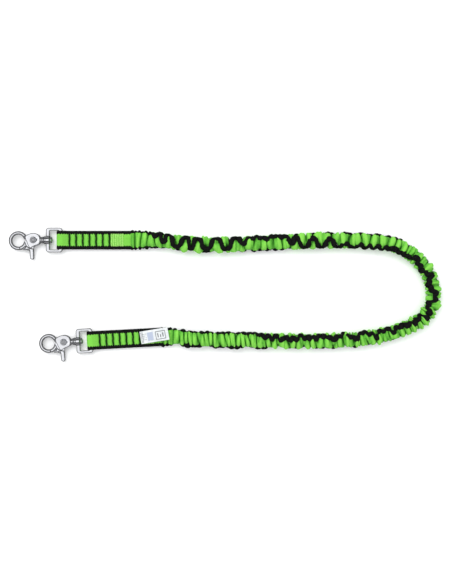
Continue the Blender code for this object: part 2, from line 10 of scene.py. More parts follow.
import bpy
import numpy as np
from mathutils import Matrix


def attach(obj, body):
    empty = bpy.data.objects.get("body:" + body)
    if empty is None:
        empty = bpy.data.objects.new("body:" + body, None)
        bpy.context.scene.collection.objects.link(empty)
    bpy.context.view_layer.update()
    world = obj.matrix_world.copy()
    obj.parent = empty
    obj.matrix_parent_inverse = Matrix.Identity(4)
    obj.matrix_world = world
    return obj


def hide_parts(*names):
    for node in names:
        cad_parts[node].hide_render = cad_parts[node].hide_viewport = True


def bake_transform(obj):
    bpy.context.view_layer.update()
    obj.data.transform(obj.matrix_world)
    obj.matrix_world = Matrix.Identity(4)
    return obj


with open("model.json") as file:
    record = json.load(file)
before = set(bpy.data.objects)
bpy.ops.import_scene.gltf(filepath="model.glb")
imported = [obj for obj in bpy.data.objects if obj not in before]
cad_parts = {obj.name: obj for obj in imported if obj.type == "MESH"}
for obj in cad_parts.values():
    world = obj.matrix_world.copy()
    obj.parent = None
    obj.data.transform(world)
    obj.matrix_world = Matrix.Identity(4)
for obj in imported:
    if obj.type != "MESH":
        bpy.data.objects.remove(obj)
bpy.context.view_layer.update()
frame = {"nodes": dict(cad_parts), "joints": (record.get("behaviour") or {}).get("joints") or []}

bl_info = {
    "name": "Shock Absorbing Lanyard",
    "version": (1, 0, 0),
    "blender": (4, 5, 0),
    "location": "View3D > Sidebar > Lanyard",
    "description": "Builds the elastic webbing lanyard with its swivel hooks around the packed frame",
    "category": "Add Mesh",
}

JOINTS = {joint["name"]: joint for joint in frame["joints"]}
TAU = 2.0 * math.pi
UNDERLAY = 0.0009  # height of the tape's underside over the floor
PLY_GAP = 0.0001  # room between the tape's two layers
TACKS = 7  # bar tacks on each tape
SEAM_ROWS, SEAM_PITCH, SEAM_INSET = 7, 0.002, 0.009  # the elastic's seam, from the tape's rear end

# the sleeve's way from the upper tape to the lower one
ROUTE = [
    (0.0652, 0.0589), (0.0846, 0.0576), (0.1041, 0.0552), (0.1246, 0.0539), (0.1462, 0.0539),
    (0.1678, 0.0546), (0.1894, 0.0557), (0.2110, 0.0568), (0.2326, 0.0577), (0.2542, 0.0585),
    (0.2758, 0.0585), (0.2941, 0.0579), (0.3114, 0.0567), (0.3265, 0.0541), (0.3395, 0.0488),
    (0.3503, 0.0414), (0.3589, 0.0321), (0.3656, 0.0217), (0.3697, 0.0103), (0.3711, -0.0010),
    (0.3693, -0.0118), (0.3638, -0.0212), (0.3552, -0.0286), (0.3438, -0.0345), (0.3309, -0.0396),
    (0.3179, -0.0435), (0.3006, -0.0466), (0.2812, -0.0486), (0.2596, -0.0499), (0.2380, -0.0502),
    (0.2142, -0.0497), (0.1883, -0.0495), (0.1624, -0.0491), (0.1365, -0.0488), (0.1138, -0.0480),
    (0.0950, -0.0459),
]


# ---- places from the frame ----
def vertices_of(node_name):
    vertices = frame["nodes"][node_name].data.vertices
    points = np.empty(3 * len(vertices))
    vertices.foreach_get("co", points)
    return points.reshape(-1, 3)


class EndPlace:
    """Where one end of the lanyard lies: directions, bar, pivot, junction and rows of stitches."""

    def __init__(self, side):
        out = np.array(JOINTS[f"{side}_stretch"]["axis"], float)
        self.x = -out / np.linalg.norm(out)
        self.y = np.array([-self.x[1], self.x[0], 0.0])
        self.bar = np.array(JOINTS[f"{side}_eye_swing"]["pos_m"], float)
        self.pivot = np.array(JOINTS[f"{side}_trigger_pull"]["pos_m"], float)
        tape = self.to_local(vertices_of(f"{side}_end_tape"))
        self.tape_length, self.tape_half_width = tape.max(axis=0)[:2]
        self.junction = self.bar + self.x * self.tape_length
        self.underside = UNDERLAY - self.bar[2]
        tacks = (self.to_local(vertices_of(f"{side}_bar_tack_{k}"))[:, 0] for k in range(1, TACKS + 1))
        self.tacks = [(places.min() + places.max()) / 2.0 for places in tacks]
        self.seam_rows = self.tape_length - SEAM_INSET - SEAM_PITCH * np.arange(SEAM_ROWS)

    def to_local(self, points):
        """Points of the row frame along this end's directions from its bar."""
        away = points - self.bar
        return np.stack([away @ self.x, away @ self.y, away[:, 2]], axis=1)

    def to_world(self, points, origin):
        """Points given along this end's directions from an origin, in the row frame."""
        flat = points[..., :1] * self.x + points[..., 1:2] * self.y
        flat[..., 2] += points[..., 2]
        return flat + origin


ENDS = {side: EndPlace(side) for side in ("upper", "lower")}


# ---- settings ----
def length(name, description, default):
    return bpy.props.FloatProperty(
        name=name, description=description, default=default, min=0.0, unit="LENGTH", precision=5
    )


def colour(name, description, default):
    return bpy.props.FloatVectorProperty(
        name=name, description=description, default=default, size=3, subtype="COLOR", min=0.0, max=1.0
    )


class LanyardWebbing(bpy.types.PropertyGroup):
    """Sizes and colours of the woven parts."""

    width: length("Webbing width", "Flat width of the tubular webbing", 2.0 * ENDS["upper"].tape_half_width)
    stripe: length("Edge stripe", "Width of the black stripe on each face along each edge", 0.0037)
    ply: length("Ply", "Thickness of the webbing pressed flat", 0.0019)
    sleeve_radius: length("Sleeve radius", "Mean radius of the gathered sleeve", 0.0062)
    lime: colour("Lime", "Colour of the webbing", (0.122, 0.462, 0.041))
    black: colour("Black", "Colour of the edge stripes", (0.0022, 0.0024, 0.0022))


class LanyardHardware(bpy.types.PropertyGroup):
    """Sizes and colours of the metal parts."""

    ring_inner: length("Ring inner radius", "Inside radius of the hook's ring", 0.0065)
    ring_outer: length("Ring outer radius", "Outside radius of the hook's ring", 0.0102)
    chrome: colour("Chrome", "Colour of the plated castings", (0.78, 0.79, 0.81))
    steel: colour("Steel", "Colour of springs, rivets and pins", (0.66, 0.67, 0.69))


class LanyardStage(bpy.types.PropertyGroup):
    """The floor and the view."""

    floor: colour("Floor", "Colour of the plain floor", (0.96, 0.96, 0.96))
    height: length("Camera height", "Height of the camera above the webbing", 1.0)
    view_height: length("View height", "Length of floor that the picture's height takes in", 0.6307)


# ---- shader maths ----
def node(tree, kind, output=0, settings=(), inputs=()):
    """A node of a kind: its settings or a ramp's stops first, then its sockets' values or wires."""
    made = tree.nodes.new(kind)
    for name, value in dict(settings).items():
        if name == "stops":
            for position, _ in value[1:-1]:
                made.color_ramp.elements.new(position)
            for stop, (stop.position, shade) in zip(made.color_ramp.elements, value):
                stop.color = (shade, shade, shade * 1.02, 1.0)
        else:
            setattr(made, name, value)
    for key, value in dict(inputs).items():
        if isinstance(value, Wire):
            tree.links.new(value.socket, made.inputs[key])
        else:
            made.inputs[key].default_value = value
    return Wire(tree, made.outputs[output])


def maths(operation, number_first=False):
    """A method that adds a Math node of two values, with the plain number first where told."""
    def method(self, other):
        pair = (other, self) if number_first else (self, other)
        return node(self.tree, "ShaderNodeMath", 0, {"operation": operation}, enumerate(pair))
    return method


class Wire:
    """A socket of a node tree; operators on it add Math nodes."""

    __add__ = __radd__ = maths("ADD")
    __sub__ = maths("SUBTRACT")
    __rsub__ = maths("SUBTRACT", number_first=True)
    __mul__ = __rmul__ = maths("MULTIPLY")
    at_most = maths("MINIMUM")

    def __init__(self, tree, socket):
        self.tree = tree
        self.socket = socket

    def waves(self, pitch, shift=0.0):
        """A sine wave of this pitch, shifted by an angle."""
        angle = self * (TAU / pitch) + shift
        return node(self.tree, "ShaderNodeMath", 0, {"operation": "SINE"}, {0: angle})

    def step(self, low, high):
        """0 below low and 1 above high, smooth between."""
        return node(
            self.tree, "ShaderNodeMapRange", "Result", {"interpolation_type": "SMOOTHSTEP"},
            {"Value": self, "From Min": low, "From Max": high},
        )

    def between(self, low, high, soft=0.08):
        return self.step(low - soft, low + soft) * (1.0 - self.step(high - soft, high + soft))


class Paint:
    """A new node material with one Principled shader."""

    def __init__(self, name, **constants):
        self.material = bpy.data.materials.new(name)
        self.material.use_nodes = True
        self.tree = self.material.node_tree
        self.shader = self.tree.nodes["Principled BSDF"]
        self.point = node(self.tree, "ShaderNodeTexCoord", "Object")
        for socket, value in constants.items():
            self.shader.inputs[socket.replace("_", " ")].default_value = value

    def attribute(self, name):
        return node(self.tree, "ShaderNodeAttribute", "Fac", {"attribute_name": name})

    def noise(self, scale, detail=2.0, point=None):
        inputs = {"Vector": point or self.point, "Scale": scale, "Detail": detail}
        return node(self.tree, "ShaderNodeTexNoise", "Fac", inputs=inputs)

    def mix(self, factor, *colours):
        """A colour between two, by a factor."""
        first, second = (value if isinstance(value, Wire) else (*value, 1.0) for value in colours)
        return node(self.tree, "ShaderNodeMix", 2, {"data_type": "RGBA"}, {0: factor, 6: first, 7: second})

    def bump(self, height, strength, distance):
        inputs = {"Height": height, "Strength": strength, "Distance": distance}
        return node(self.tree, "ShaderNodeBump", "Normal", inputs=inputs)

    def finished(self, **wires):
        """The material, with these wires in its shader's sockets."""
        for socket, wire in wires.items():
            self.tree.links.new(wire.socket, self.shader.inputs[socket.replace("_", " ")])
        return self.material


def scaled(rgb, factor):
    return tuple(min(1.0, channel * factor) for channel in rgb)


def webbing_paint(name):
    """Lime webbing with black edge stripes: ribbed weave, with painted shade darkening the creases of the
    folds and a painted highlight on their crests.
    """
    settings = bpy.context.scene.lanyard_webbing
    paint = Paint(name, Roughness=0.8, Specular_IOR_Level=0.15)
    across, along, edge, fold = (paint.attribute(key) for key in ("across_mm", "along_mm", "edge_mm", "fold"))
    fuzz = paint.noise(900.0, 3.0)
    patch = paint.noise(70.0)
    # the stripe ends where one warp yarn ends, so its border is slightly ragged
    ragged = (paint.noise(1400.0, 1.0) - 0.5) * 0.9 + along.waves(2.5) * 0.42
    stripe_mm = settings.stripe * 1000.0
    green = (edge + ragged).step(stripe_mm - 0.12, stripe_mm + 0.12)
    warp = across.waves(0.95)
    yarn = warp * 0.5 + along.waves(0.80, warp * 1.2) * 0.5
    woven = paint.mix(patch.step(0.35, 0.7), scaled(settings.lime, 0.82), scaled(settings.lime, 1.20))
    woven = paint.mix(yarn.step(-0.9, 0.9), (0.058, 0.325, 0.020), woven)
    woven = paint.mix(fuzz.step(0.3, 0.8) * 0.35, woven, (0.25, 0.64, 0.11))
    # painted highlight: lighter lime where the webbing stands high in its folds
    woven = paint.mix(fold.step(0.20, 0.80) * 0.6, woven, (0.26, 0.67, 0.09))
    # painted shade: near-black green in the creases between the folds and at the tapes' stitches
    woven = paint.mix((0.5 - fold * 0.5).step(0.33, 0.78) * 0.95, woven, (0.008, 0.10, 0.004))
    dark = paint.mix(yarn.step(-0.8, 0.9), settings.black, (0.0085, 0.009, 0.0085))
    cord = along.waves(1.9, across * 1.1) * (1.0 - green)
    relief = paint.bump(yarn * 0.6 + fuzz * 0.7 + cord * 0.9, 0.55, 0.00022)
    striped = paint.mix(green, dark, woven)
    return paint.finished(Base_Color=striped, Roughness=0.62 + fuzz * 0.22, Normal=relief)


def thread_paint(name, rgb, shine):
    """Twisted sewing thread: fine slanted strands."""
    paint = Paint(name, Roughness=0.6, Sheen_Weight=0.05, Specular_IOR_Level=0.2)
    strand = paint.attribute("along_mm").waves(0.55, paint.attribute("around") * TAU)
    fuzz = paint.noise(1500.0)
    twisted = paint.mix(strand.step(-0.8, 0.8) * 0.6 + fuzz * 0.3, rgb, shine)
    relief = paint.bump(strand + fuzz * 0.4, 0.5, 0.00008)
    return paint.finished(Base_Color=twisted, Roughness=0.5 + fuzz * 0.25, Normal=relief)


def plated_paint(name, metal, roughness, grain):
    """Plated or drawn metal: polish marks, faint handling scratches and a slightly duller patina."""
    rgb = getattr(bpy.context.scene.lanyard_hardware, metal)
    paint = Paint(name, Metallic=1.0)
    clouds = paint.noise(180.0, 3.0)
    marks = paint.noise(2600.0)
    place = {"Vector": paint.point, "Scale": (1.0, 14.0, 1.0), "Rotation": (0.0, 0.0, 0.5)}
    stretched = node(paint.tree, "ShaderNodeMapping", "Vector", inputs=place)
    scratches = paint.noise(700.0, 2.0, stretched).step(0.60, 0.72)
    return paint.finished(
        Base_Color=paint.mix(clouds.step(0.35, 0.75) * 0.5, rgb, scaled(rgb, 0.86)),
        Roughness=roughness + clouds * grain + scratches * 0.10,
        Normal=paint.bump(marks * 0.5 + scratches * 0.4 + clouds * 0.6, 0.10, 0.00006),
    )


def elastic_paint(name):
    """Covered rubber strand: fine braided cover."""
    paint = Paint(name, Roughness=0.8)
    inputs = {"Vector": paint.point, "Scale": 300.0, "Distortion": 2.0}
    weave = node(paint.tree, "ShaderNodeTexWave", "Fac", inputs=inputs)
    cover = paint.mix(weave, (0.05, 0.05, 0.055), (0.13, 0.13, 0.14))
    return paint.finished(Base_Color=cover, Normal=paint.bump(weave, 0.4, 0.0002))


def label_paint(name):
    """Satin label ribbon with a tinted panel, a framed pictogram and ruled lines, all generic."""
    paint = Paint(name, Roughness=0.5, Sheen_Weight=0.1)
    along = paint.attribute("along_mm")
    across = paint.attribute("across_mm")

    def patch(low_x, high_x, low_y, high_y):
        return along.between(low_x, high_x) * across.between(low_y, high_y)

    cloud = paint.noise(260.0, 3.0)
    white = paint.mix(cloud.step(0.35, 0.7), (0.58, 0.61, 0.62), (0.71, 0.73, 0.73))
    tinted = paint.mix(patch(8.0, 14.6, 2.4, 11.2) * (0.75 + cloud * 0.3), white, (0.36, 0.41, 0.53))
    frame_mark = patch(17.2, 28.6, 2.0, 11.0) * (1.0 - patch(17.9, 27.9, 2.7, 10.3))
    bars = patch(19.4, 20.6, 4.2, 8.8) + patch(22.2, 23.4, 4.2, 7.2) + patch(25.0, 26.2, 4.2, 8.8)
    dashes = across.waves(1.9).step(0.35, 0.75) * paint.noise(1100.0, 1.0).step(0.42, 0.55)
    lines = dashes * (patch(2.4, 7.0, 3.2, 10.6) + patch(8.6, 14.0, 1.2, 2.6))
    ink = (frame_mark + bars + lines * 0.7).at_most(1.0) * (0.75 + cloud * 0.2)
    satin = across.waves(0.35) * 0.5 + along.waves(0.35) * 0.5
    return paint.finished(
        Base_Color=paint.mix(ink, tinted, (0.045, 0.05, 0.06)), Roughness=0.42 + cloud * 0.2,
        Normal=paint.bump(satin + cloud, 0.25, 0.00006),
    )


FINISHES = {
    "lime_webbing": (webbing_paint,),
    "black_thread": (thread_paint, (0.0015, 0.0015, 0.0015), (0.008, 0.008, 0.008)),
    "lime_thread": (thread_paint, (0.42, 0.86, 0.17), (0.60, 0.94, 0.32)),
    "elastic_cover": (elastic_paint,),
    "printed_label": (label_paint,),
    "chrome": (plated_paint, "chrome", 0.07, 0.07),
    "satin_chrome": (plated_paint, "chrome", 0.16, 0.10),
    "spring_steel": (plated_paint, "steel", 0.24, 0.10),
}
made_finishes = {}


def finish(name):
    """The material of a finish, made when it is first asked for."""
    if name not in made_finishes:
        paint, *values = FINISHES[name]
        made_finishes[name] = paint(name, *values)
    return made_finishes[name]


# ---- curves and meshes ----
def unit(vectors):
    return vectors / np.maximum(np.linalg.norm(vectors, axis=-1, keepdims=True), 1e-9)


def distances(path):
    """Each point's distance along a path."""
    return np.concatenate([[0.0], np.cumsum(np.linalg.norm(np.diff(path, axis=0), axis=1))])


def read_at(places, steps, table):
    """A table's rows at places between its own steps."""
    return np.stack([np.interp(places, steps, column) for column in table.T], axis=-1)


def circle(sides):
    """The angles of a circle's points."""
    return np.linspace(0.0, TAU, sides, endpoint=False)


def ramp(values, low, high):
    """0 below low and 1 above high, straight between."""
    return np.clip((values - low) / (high - low), 0.0, 1.0)


def eased(share):
    """A share from 0 to 1 with a level start and end."""
    return share * share * (3.0 - 2.0 * share)


def softened(values, width):
    """Values smoothed by a bell of this many samples."""
    reach = int(3 * width)
    bell = np.exp(-0.5 * (np.arange(-reach, reach + 1) / width) ** 2)
    return np.convolve(np.pad(values, reach, mode="edge"), bell / bell.sum(), mode="valid")


def outward(points, faces):
    """The same faces, turned to point outwards: the signed volume is made positive."""
    quads = faces[faces[:, 3] >= 0]
    a, b, c = np.moveaxis(points[np.concatenate([faces[:, :3], quads[:, [0, 2, 3]]])], 1, 0)
    return faces if (a * np.cross(b, c)).sum() > 0.0 else faces[:, ::-1]


def piece_from(name, points, faces, material, values=(), smooth=True):
    """An object at the origin with its place in its mesh; a -1 in a face stands for no corner."""
    mesh = bpy.data.meshes.new(name)
    real = faces >= 0
    corners = real.sum(axis=1)
    mesh.vertices.add(len(points))
    mesh.vertices.foreach_set("co", points.ravel())
    mesh.loops.add(int(corners.sum()))
    mesh.loops.foreach_set("vertex_index", faces[real])
    mesh.polygons.add(len(faces))
    mesh.polygons.foreach_set("loop_start", np.cumsum(corners) - corners)
    for key, column in dict(values).items():
        mesh.attributes.new(key, "FLOAT", "POINT").data.foreach_set("value", column)
    mesh.polygons.foreach_set("use_smooth", np.full(len(faces), smooth))
    mesh.update(calc_edges=True)
    mesh.validate()
    mesh.materials.append(material)
    piece = bpy.data.objects.new(name, mesh)
    bpy.context.scene.collection.objects.link(piece)
    return piece


def tubes_piece(name, tubes, material):
    """One piece of closed tubes, each given as rings of points and their values.

    Quads join each ring to the next one, and triangles join the first and the last ring to a
    point in its middle, which takes the mean of the ring's values."""
    all_points, all_faces, all_values = [], [], {}
    start = 0
    for rings, values in tubes:
        rows, columns = rings.shape[:2]
        k = np.arange(columns)
        after = (k + 1) % columns
        row = np.arange(rows - 1)[:, None, None] * columns
        last = (rows - 1) * columns
        middle = np.full(columns, rows * columns)
        none = np.full(columns, -1)
        quads = row + np.stack([k, after, columns + after, columns + k], axis=-1)
        faces = np.concatenate([
            quads.reshape(-1, 4),
            np.stack([middle, after, k, none], axis=-1),
            np.stack([middle + 1, last + k, last + after, none], axis=-1),
        ])
        points = np.concatenate([rings.reshape(-1, 3), rings[:1].mean(axis=1), rings[-1:].mean(axis=1)])
        faces = outward(points, faces)
        all_faces.append(np.where(faces < 0, -1, faces + start))
        all_points.append(points)
        start += len(points)
        for key, value in values.items():
            value = np.broadcast_to(value, (rows, columns))
            column = np.concatenate([value.ravel(), value[:1].mean(axis=1), value[-1:].mean(axis=1)])
            all_values.setdefault(key, []).append(column)
    joined = {key: np.concatenate(columns) for key, columns in all_values.items()}
    return piece_from(name, np.concatenate(all_points), np.concatenate(all_faces), material, joined)


def placed(piece, body, node_name):
    """Hangs a piece on the body it rides on and hides the CAD node it stands for."""
    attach(piece, body)
    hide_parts(node_name)


def swept(path, radius, sides):
    """A round thread's rings along a path, with the distances and turns of its twist."""
    ahead = unit(np.gradient(path, axis=0))
    up = unit(np.array([0.0, 0.0, 1.0]) - ahead * ahead[:, 2:3])
    side = np.cross(up, ahead)
    angle = circle(sides)
    around = np.cos(angle)[:, None] * side[:, None] + np.sin(angle)[:, None] * up[:, None]
    values = {"along_mm": distances(path)[:, None] * 1000.0, "around": angle / TAU}
    return path[:, None] + radius * around, values


def sewn(side, node_name, paths, radius, sides, thread):
    """The thread of a seam, along its paths."""
    tubes = [swept(path, radius, sides) for path in paths]
    piece = tubes_piece(f"{node_name}_thread", tubes, finish(thread))
    placed(piece, f"{side}_end", node_name)


# ---- cast skins ----
CAST_CELL = 0.000335


def cast_skin(field, low, high):
    """Skin of the solid where field(x, y, z) is negative: one point in each grid cell that the
    surface crosses, at the mean of its crossings and then moved onto the surface, and one quad
    for each grid edge that crosses it."""
    axes = [np.arange(a - CAST_CELL, b + 2.0 * CAST_CELL, CAST_CELL) for a, b in zip(low, high)]
    grid = np.stack(np.meshgrid(*axes, indexing="ij"), axis=-1)
    value = field(*np.moveaxis(grid, -1, 0))
    inside = value < 0.0
    cells = tuple(n - 1 for n in value.shape)
    total = np.zeros((*cells, 3))
    count = np.zeros(cells)
    crossings = []
    for axis in range(3):
        near, far = (
            tuple(part if k == axis else slice(None) for k in range(3))
            for part in (slice(-1), slice(1, None))
        )
        crossed = inside[near] != inside[far]
        a = value[near][crossed]
        b = value[far][crossed]
        point = grid[near][crossed]
        point[:, axis] += CAST_CELL * a / (a - b)
        corners = []
        for shift in ((0, 0), (1, 0), (1, 1), (0, 1)):
            cell = tuple((np.argwhere(crossed) - np.insert(shift, axis, 0)).T)
            np.add.at(total, cell, point)
            np.add.at(count, cell, 1.0)
            corners.append(cell)
        crossings.append((inside[near][crossed] ^ (axis == 1), corners))
    used = count > 0
    number = np.full(cells, -1)
    number[used] = np.arange(used.sum())
    points = total[used] / count[used][:, None]
    quads = []
    for turned, corners in crossings:
        quad = np.stack([number[cell] for cell in corners], axis=1)
        quad[turned] = quad[turned][:, ::-1]
        quads.append(quad)
    step = CAST_CELL * 0.05
    for _ in range(3):
        here = field(*points.T)
        slope = np.stack([field(*(points + step * way).T) - here for way in np.eye(3)], axis=1) / step
        size = np.maximum((slope * slope).sum(axis=1), 0.25)
        points = points - np.clip(here / size, -0.4 * CAST_CELL, 0.4 * CAST_CELL)[:, None] * slope
    return points, outward(points, np.concatenate(quads))


def cast_pieces(name, field, low, high, finish_name, body, node_name):
    """A casting's skin, in its end's directions from the pivot, or from the bar for the eye."""
    points, faces = cast_skin(field, low, high)
    for side, end in ENDS.items():
        world = end.to_world(points, end.bar if body == "eye" else end.pivot)
        piece = piece_from(f"{side}_cast_{name}", world, faces, finish(finish_name))
        placed(piece, f"{side}_{body}", f"{side}_{node_name}")


def blended(a, b, reach):
    """Smooth union of two distances: the fillet between them is about reach wide."""
    mix = np.clip(0.5 + 0.5 * (b - a) / reach, 0.0, 1.0)
    return b * (1.0 - mix) + a * mix - reach * mix * (1.0 - mix)


def carved(a, b, reach):
    """Solid a without solid b, with a rounded edge."""
    return -blended(-a, b, reach)


def outline_distance(x, y, outline):
    """Signed distance to a closed outline, negative inside."""
    corners = np.asarray(outline, float)
    nearest = np.full(np.shape(x), np.inf)
    inside = np.zeros(np.shape(x), bool)
    for (ax, ay), (bx, by) in zip(corners, np.roll(corners, -1, axis=0)):
        ex, ey = bx - ax, by - ay
        t = np.clip(((x - ax) * ex + (y - ay) * ey) / (ex * ex + ey * ey), 0.0, 1.0)
        nearest = np.minimum(nearest, (x - ax - t * ex) ** 2 + (y - ay - t * ey) ** 2)
        crosses = (ay > y) != (by > y)
        inside ^= crosses & (x < ex * (y - ay) / (ey if ey else 1e-12) + ax)
    return np.sqrt(nearest) * np.where(inside, -1.0, 1.0)


def rounded(first, second, edge):
    """Distance to where two distances are both negative, with a rounded edge between them."""
    first = first + edge
    second = second + edge
    outside = np.hypot(np.maximum(first, 0.0), np.maximum(second, 0.0))
    return np.minimum(np.maximum(first, second), 0.0) + outside - edge


def slab(flat, z, half, edge):
    """An outline's distance raised to a slab of half-height half with rounded edges."""
    return rounded(flat, np.abs(z) - half, edge)


def rod(x, y, z, start, end, radius, edge):
    """A cylinder along X with rounded ends."""
    return slab(np.hypot(y, z) - radius, x - (start + end) / 2.0, (end - start) / 2.0, edge)


def curve_through(corners, steps=6):
    """A closed smooth outline through listed corners (Catmull-Rom)."""
    t = np.linspace(0.0, 1.0, steps, endpoint=False)[:, None]
    p0, p1, p2, p3 = (np.roll(corners, shift, axis=0)[:, None] for shift in (1, 0, -1, -2))
    spans = 0.5 * (
        2.0 * p1 + (p2 - p0) * t + (2.0 * p0 - 5.0 * p1 + 4.0 * p2 - p3) * t * t
        + (3.0 * p1 - p0 - 3.0 * p2 + p3) * t ** 3
    )
    return spans.reshape(-1, 2)


# ---- stage ----
# what the metal mirrors, from below to above: floor, dark walls, a weak band and the softbox
MIRRORED = [
    (0.0, 0.08), (0.28, 0.02), (0.47, 0.16), (0.65, 0.20), (0.78, 0.05), (0.925, 0.015), (0.958, 0.72),
    (0.980, 0.96), (0.992, 0.68), (1.0, 0.68),
]
VIEW_CENTRE = (0.1473, 0.0028)
FLOOR_REACH, FLOOR_HEIGHT = 6.0, -0.0002
LAMP_PLACE = (-0.55, 0.95, 1.55)
LAMP_AIM = (0.15, 0.0, 0.0)


class LanyardPiece:
    """What every operator of the lanyard shares."""

    bl_options = {"REGISTER", "UNDO"}


class LANYARD_OT_stage(LanyardPiece, bpy.types.Operator):
    """Pale floor, soft studio light and the camera straight above"""

    bl_idname = "lanyard.stage"
    bl_label = "Stage"

    def execute(self, context):
        settings = context.scene.lanyard_stage
        lens = bpy.data.cameras.new("camera")
        lens.sensor_width = 36.0
        lens.lens = lens.sensor_width * settings.height / settings.view_height
        camera = self.stood(context, "camera", lens, (*VIEW_CENTRE, settings.height + 0.005))
        context.scene.camera = camera
        paint = Paint("floor", Roughness=0.9, Specular_IOR_Level=0.1)
        pale = paint.mix(paint.noise(3.0), settings.floor, scaled(settings.floor, 1.01))
        turns = ((-1.0, -1.0), (1.0, -1.0), (1.0, 1.0), (-1.0, 1.0))
        corners = np.array([(x * FLOOR_REACH, y * FLOOR_REACH, FLOOR_HEIGHT) for x, y in turns])
        material = paint.finished(Base_Color=pale)
        floor = piece_from("floor", corners, np.array([[0, 1, 2, 3]]), material, smooth=False)
        # the metal mirrors the studio's dark surround, as on a small sweep
        floor.visible_glossy = False
        self.light(context)
        return {"FINISHED"}

    def stood(self, context, name, data, place):
        thing = bpy.data.objects.new(name, data)
        thing.location = place
        context.scene.collection.objects.link(thing)
        return thing

    def light(self, context):
        key = bpy.data.lights.new("key", "AREA")
        key.energy = 17.0
        key.size = 1.25
        lamp = self.stood(context, "key", key, LAMP_PLACE)
        x, y, z = np.subtract(LAMP_AIM, LAMP_PLACE)
        lamp.rotation_euler = (math.atan2(math.hypot(x, y), -z), 0.0, math.atan2(-x, y))
        lamp.visible_glossy = False
        world = bpy.data.worlds.new("studio")
        world.use_nodes = True
        tree = world.node_tree
        way = node(tree, "ShaderNodeTexCoord", "Generated")
        height = node(tree, "ShaderNodeSeparateXYZ", "Z", inputs={0: way})
        shade = node(tree, "ShaderNodeValToRGB", "Color", {"stops": MIRRORED}, {0: height * 0.5 + 0.5})
        # the metal mirrors the studio's dark walls and its softbox; all else gets an even white dome
        mirrored = node(tree, "ShaderNodeBackground", inputs={"Color": shade, "Strength": 1.5})
        dome = {"Color": (0.98, 0.99, 1.0, 1.0), "Strength": 1.18}
        glossy = node(tree, "ShaderNodeLightPath", "Is Glossy Ray")
        either = node(tree, "ShaderNodeMixShader", inputs={
            0: glossy, 1: node(tree, "ShaderNodeBackground", inputs=dome), 2: mirrored})
        tree.links.new(either.socket, tree.nodes["World Output"].inputs["Surface"])
        context.scene.world = world
        context.scene.view_settings.view_transform = "Standard"


# ---- sleeve ----
# what the sleeve does along its length, read from one tape to the other:
# (distance, pitch of the gathers, turn of the webbing's plane in degrees, swing of the edges in
# radians, height of the gathers, height of the fine pleats, drift of the edges and their turn
# towards the first face, in radians)
GATHERS = [
    (0.000, 0.0064, 0.0, 0.00, 0.0008, 0.0002, 0.00, 0.00),
    (0.004, 0.0062, 0.0, 0.05, 0.0018, 0.0003, 0.00, 0.00),
    (0.018, 0.0064, 2.0, 0.12, 0.0021, 0.0004, 0.00, 0.00),
    (0.028, 0.0105, 32.0, 0.45, 0.0018, 0.0007, 0.10, 0.00),
    (0.038, 0.0150, 76.0, 0.80, 0.0025, 0.0009, 0.10, 0.00),
    (0.050, 0.0176, 86.0, 0.86, 0.0028, 0.0010, 0.12, 0.00),
    (0.112, 0.0176, 82.0, 0.82, 0.0028, 0.0010, 0.14, 0.00),
    (0.124, 0.0110, 50.0, 0.45, 0.0019, 0.0008, 0.18, 0.00),
    (0.134, 0.0080, 34.0, 0.26, 0.0019, 0.0006, 0.22, 0.00),
    (0.168, 0.0088, 34.0, 0.28, 0.0019, 0.0006, 0.22, 0.00),
    (0.177, 0.0120, 76.0, 0.60, 0.0022, 0.0008, 0.12, 0.00),
    (0.187, 0.0150, 116.0, 0.82, 0.0027, 0.0010, 0.10, 0.00),
    (0.224, 0.0160, 126.0, 0.80, 0.0027, 0.0010, 0.10, 0.00),
    (0.236, 0.0125, 150.0, 0.40, 0.0021, 0.0009, 0.18, 0.00),
    (0.268, 0.0105, 156.0, 0.40, 0.0021, 0.0009, 0.20, 0.00),
    (0.290, 0.0078, 152.0, 0.34, 0.0019, 0.0009, 0.22, 0.00),
    (0.306, 0.0074, 134.0, 0.32, 0.0019, 0.0011, 0.26, 0.00),
    (0.330, 0.0078, 114.0, 0.30, 0.0020, 0.0011, 0.24, 0.00),
    (0.385, 0.0080, 106.0, 0.30, 0.0020, 0.0011, 0.24, 0.00),
    (0.430, 0.0078, 122.0, 0.30, 0.0020, 0.0011, 0.24, 0.00),
    (0.485, 0.0074, 134.0, 0.30, 0.0019, 0.0011, 0.26, 0.00),
    (0.535, 0.0074, 128.0, 0.30, 0.0019, 0.0011, 0.26, 0.00),
    (0.557, 0.0080, 108.0, 0.34, 0.0018, 0.0009, 0.20, 0.00),
    (0.572, 0.0070, 124.0, 0.34, 0.0018, 0.0009, 0.24, 0.00),
    (0.586, 0.0060, 160.0, 0.32, 0.0018, 0.0009, 0.40, 0.20),
    (0.604, 0.0058, 178.0, 0.40, 0.0018, 0.0009, 0.50, 0.50),
    (0.672, 0.0058, 180.0, 0.38, 0.0018, 0.0007, 0.46, 0.50),
    (0.686, 0.0060, 180.0, 0.14, 0.0016, 0.0004, 0.12, 0.10),
    (0.690, 0.0060, 180.0, 0.00, 0.0008, 0.0002, 0.00, 0.00),
]
GATHER_RATIO = 1.57  # webbing length over sleeve length
FLAT_RUN = 0.024  # length over which the webbing opens from flat to round
UNEVEN = 0.34  # how far a gather's length strays from the pitch
SLEEVE_STEP = 0.00045
SLEEVE_SIDES = 96
FINE_PITCH = 0.0046
FLOOR_SKIN = 0.0002  # lowest height of the webbing
EDGE_OUT = 0.0009  # how far the thick edges stand out of the sleeve
EDGE_SIDES = 16
EDGE_STEP = 0.00055


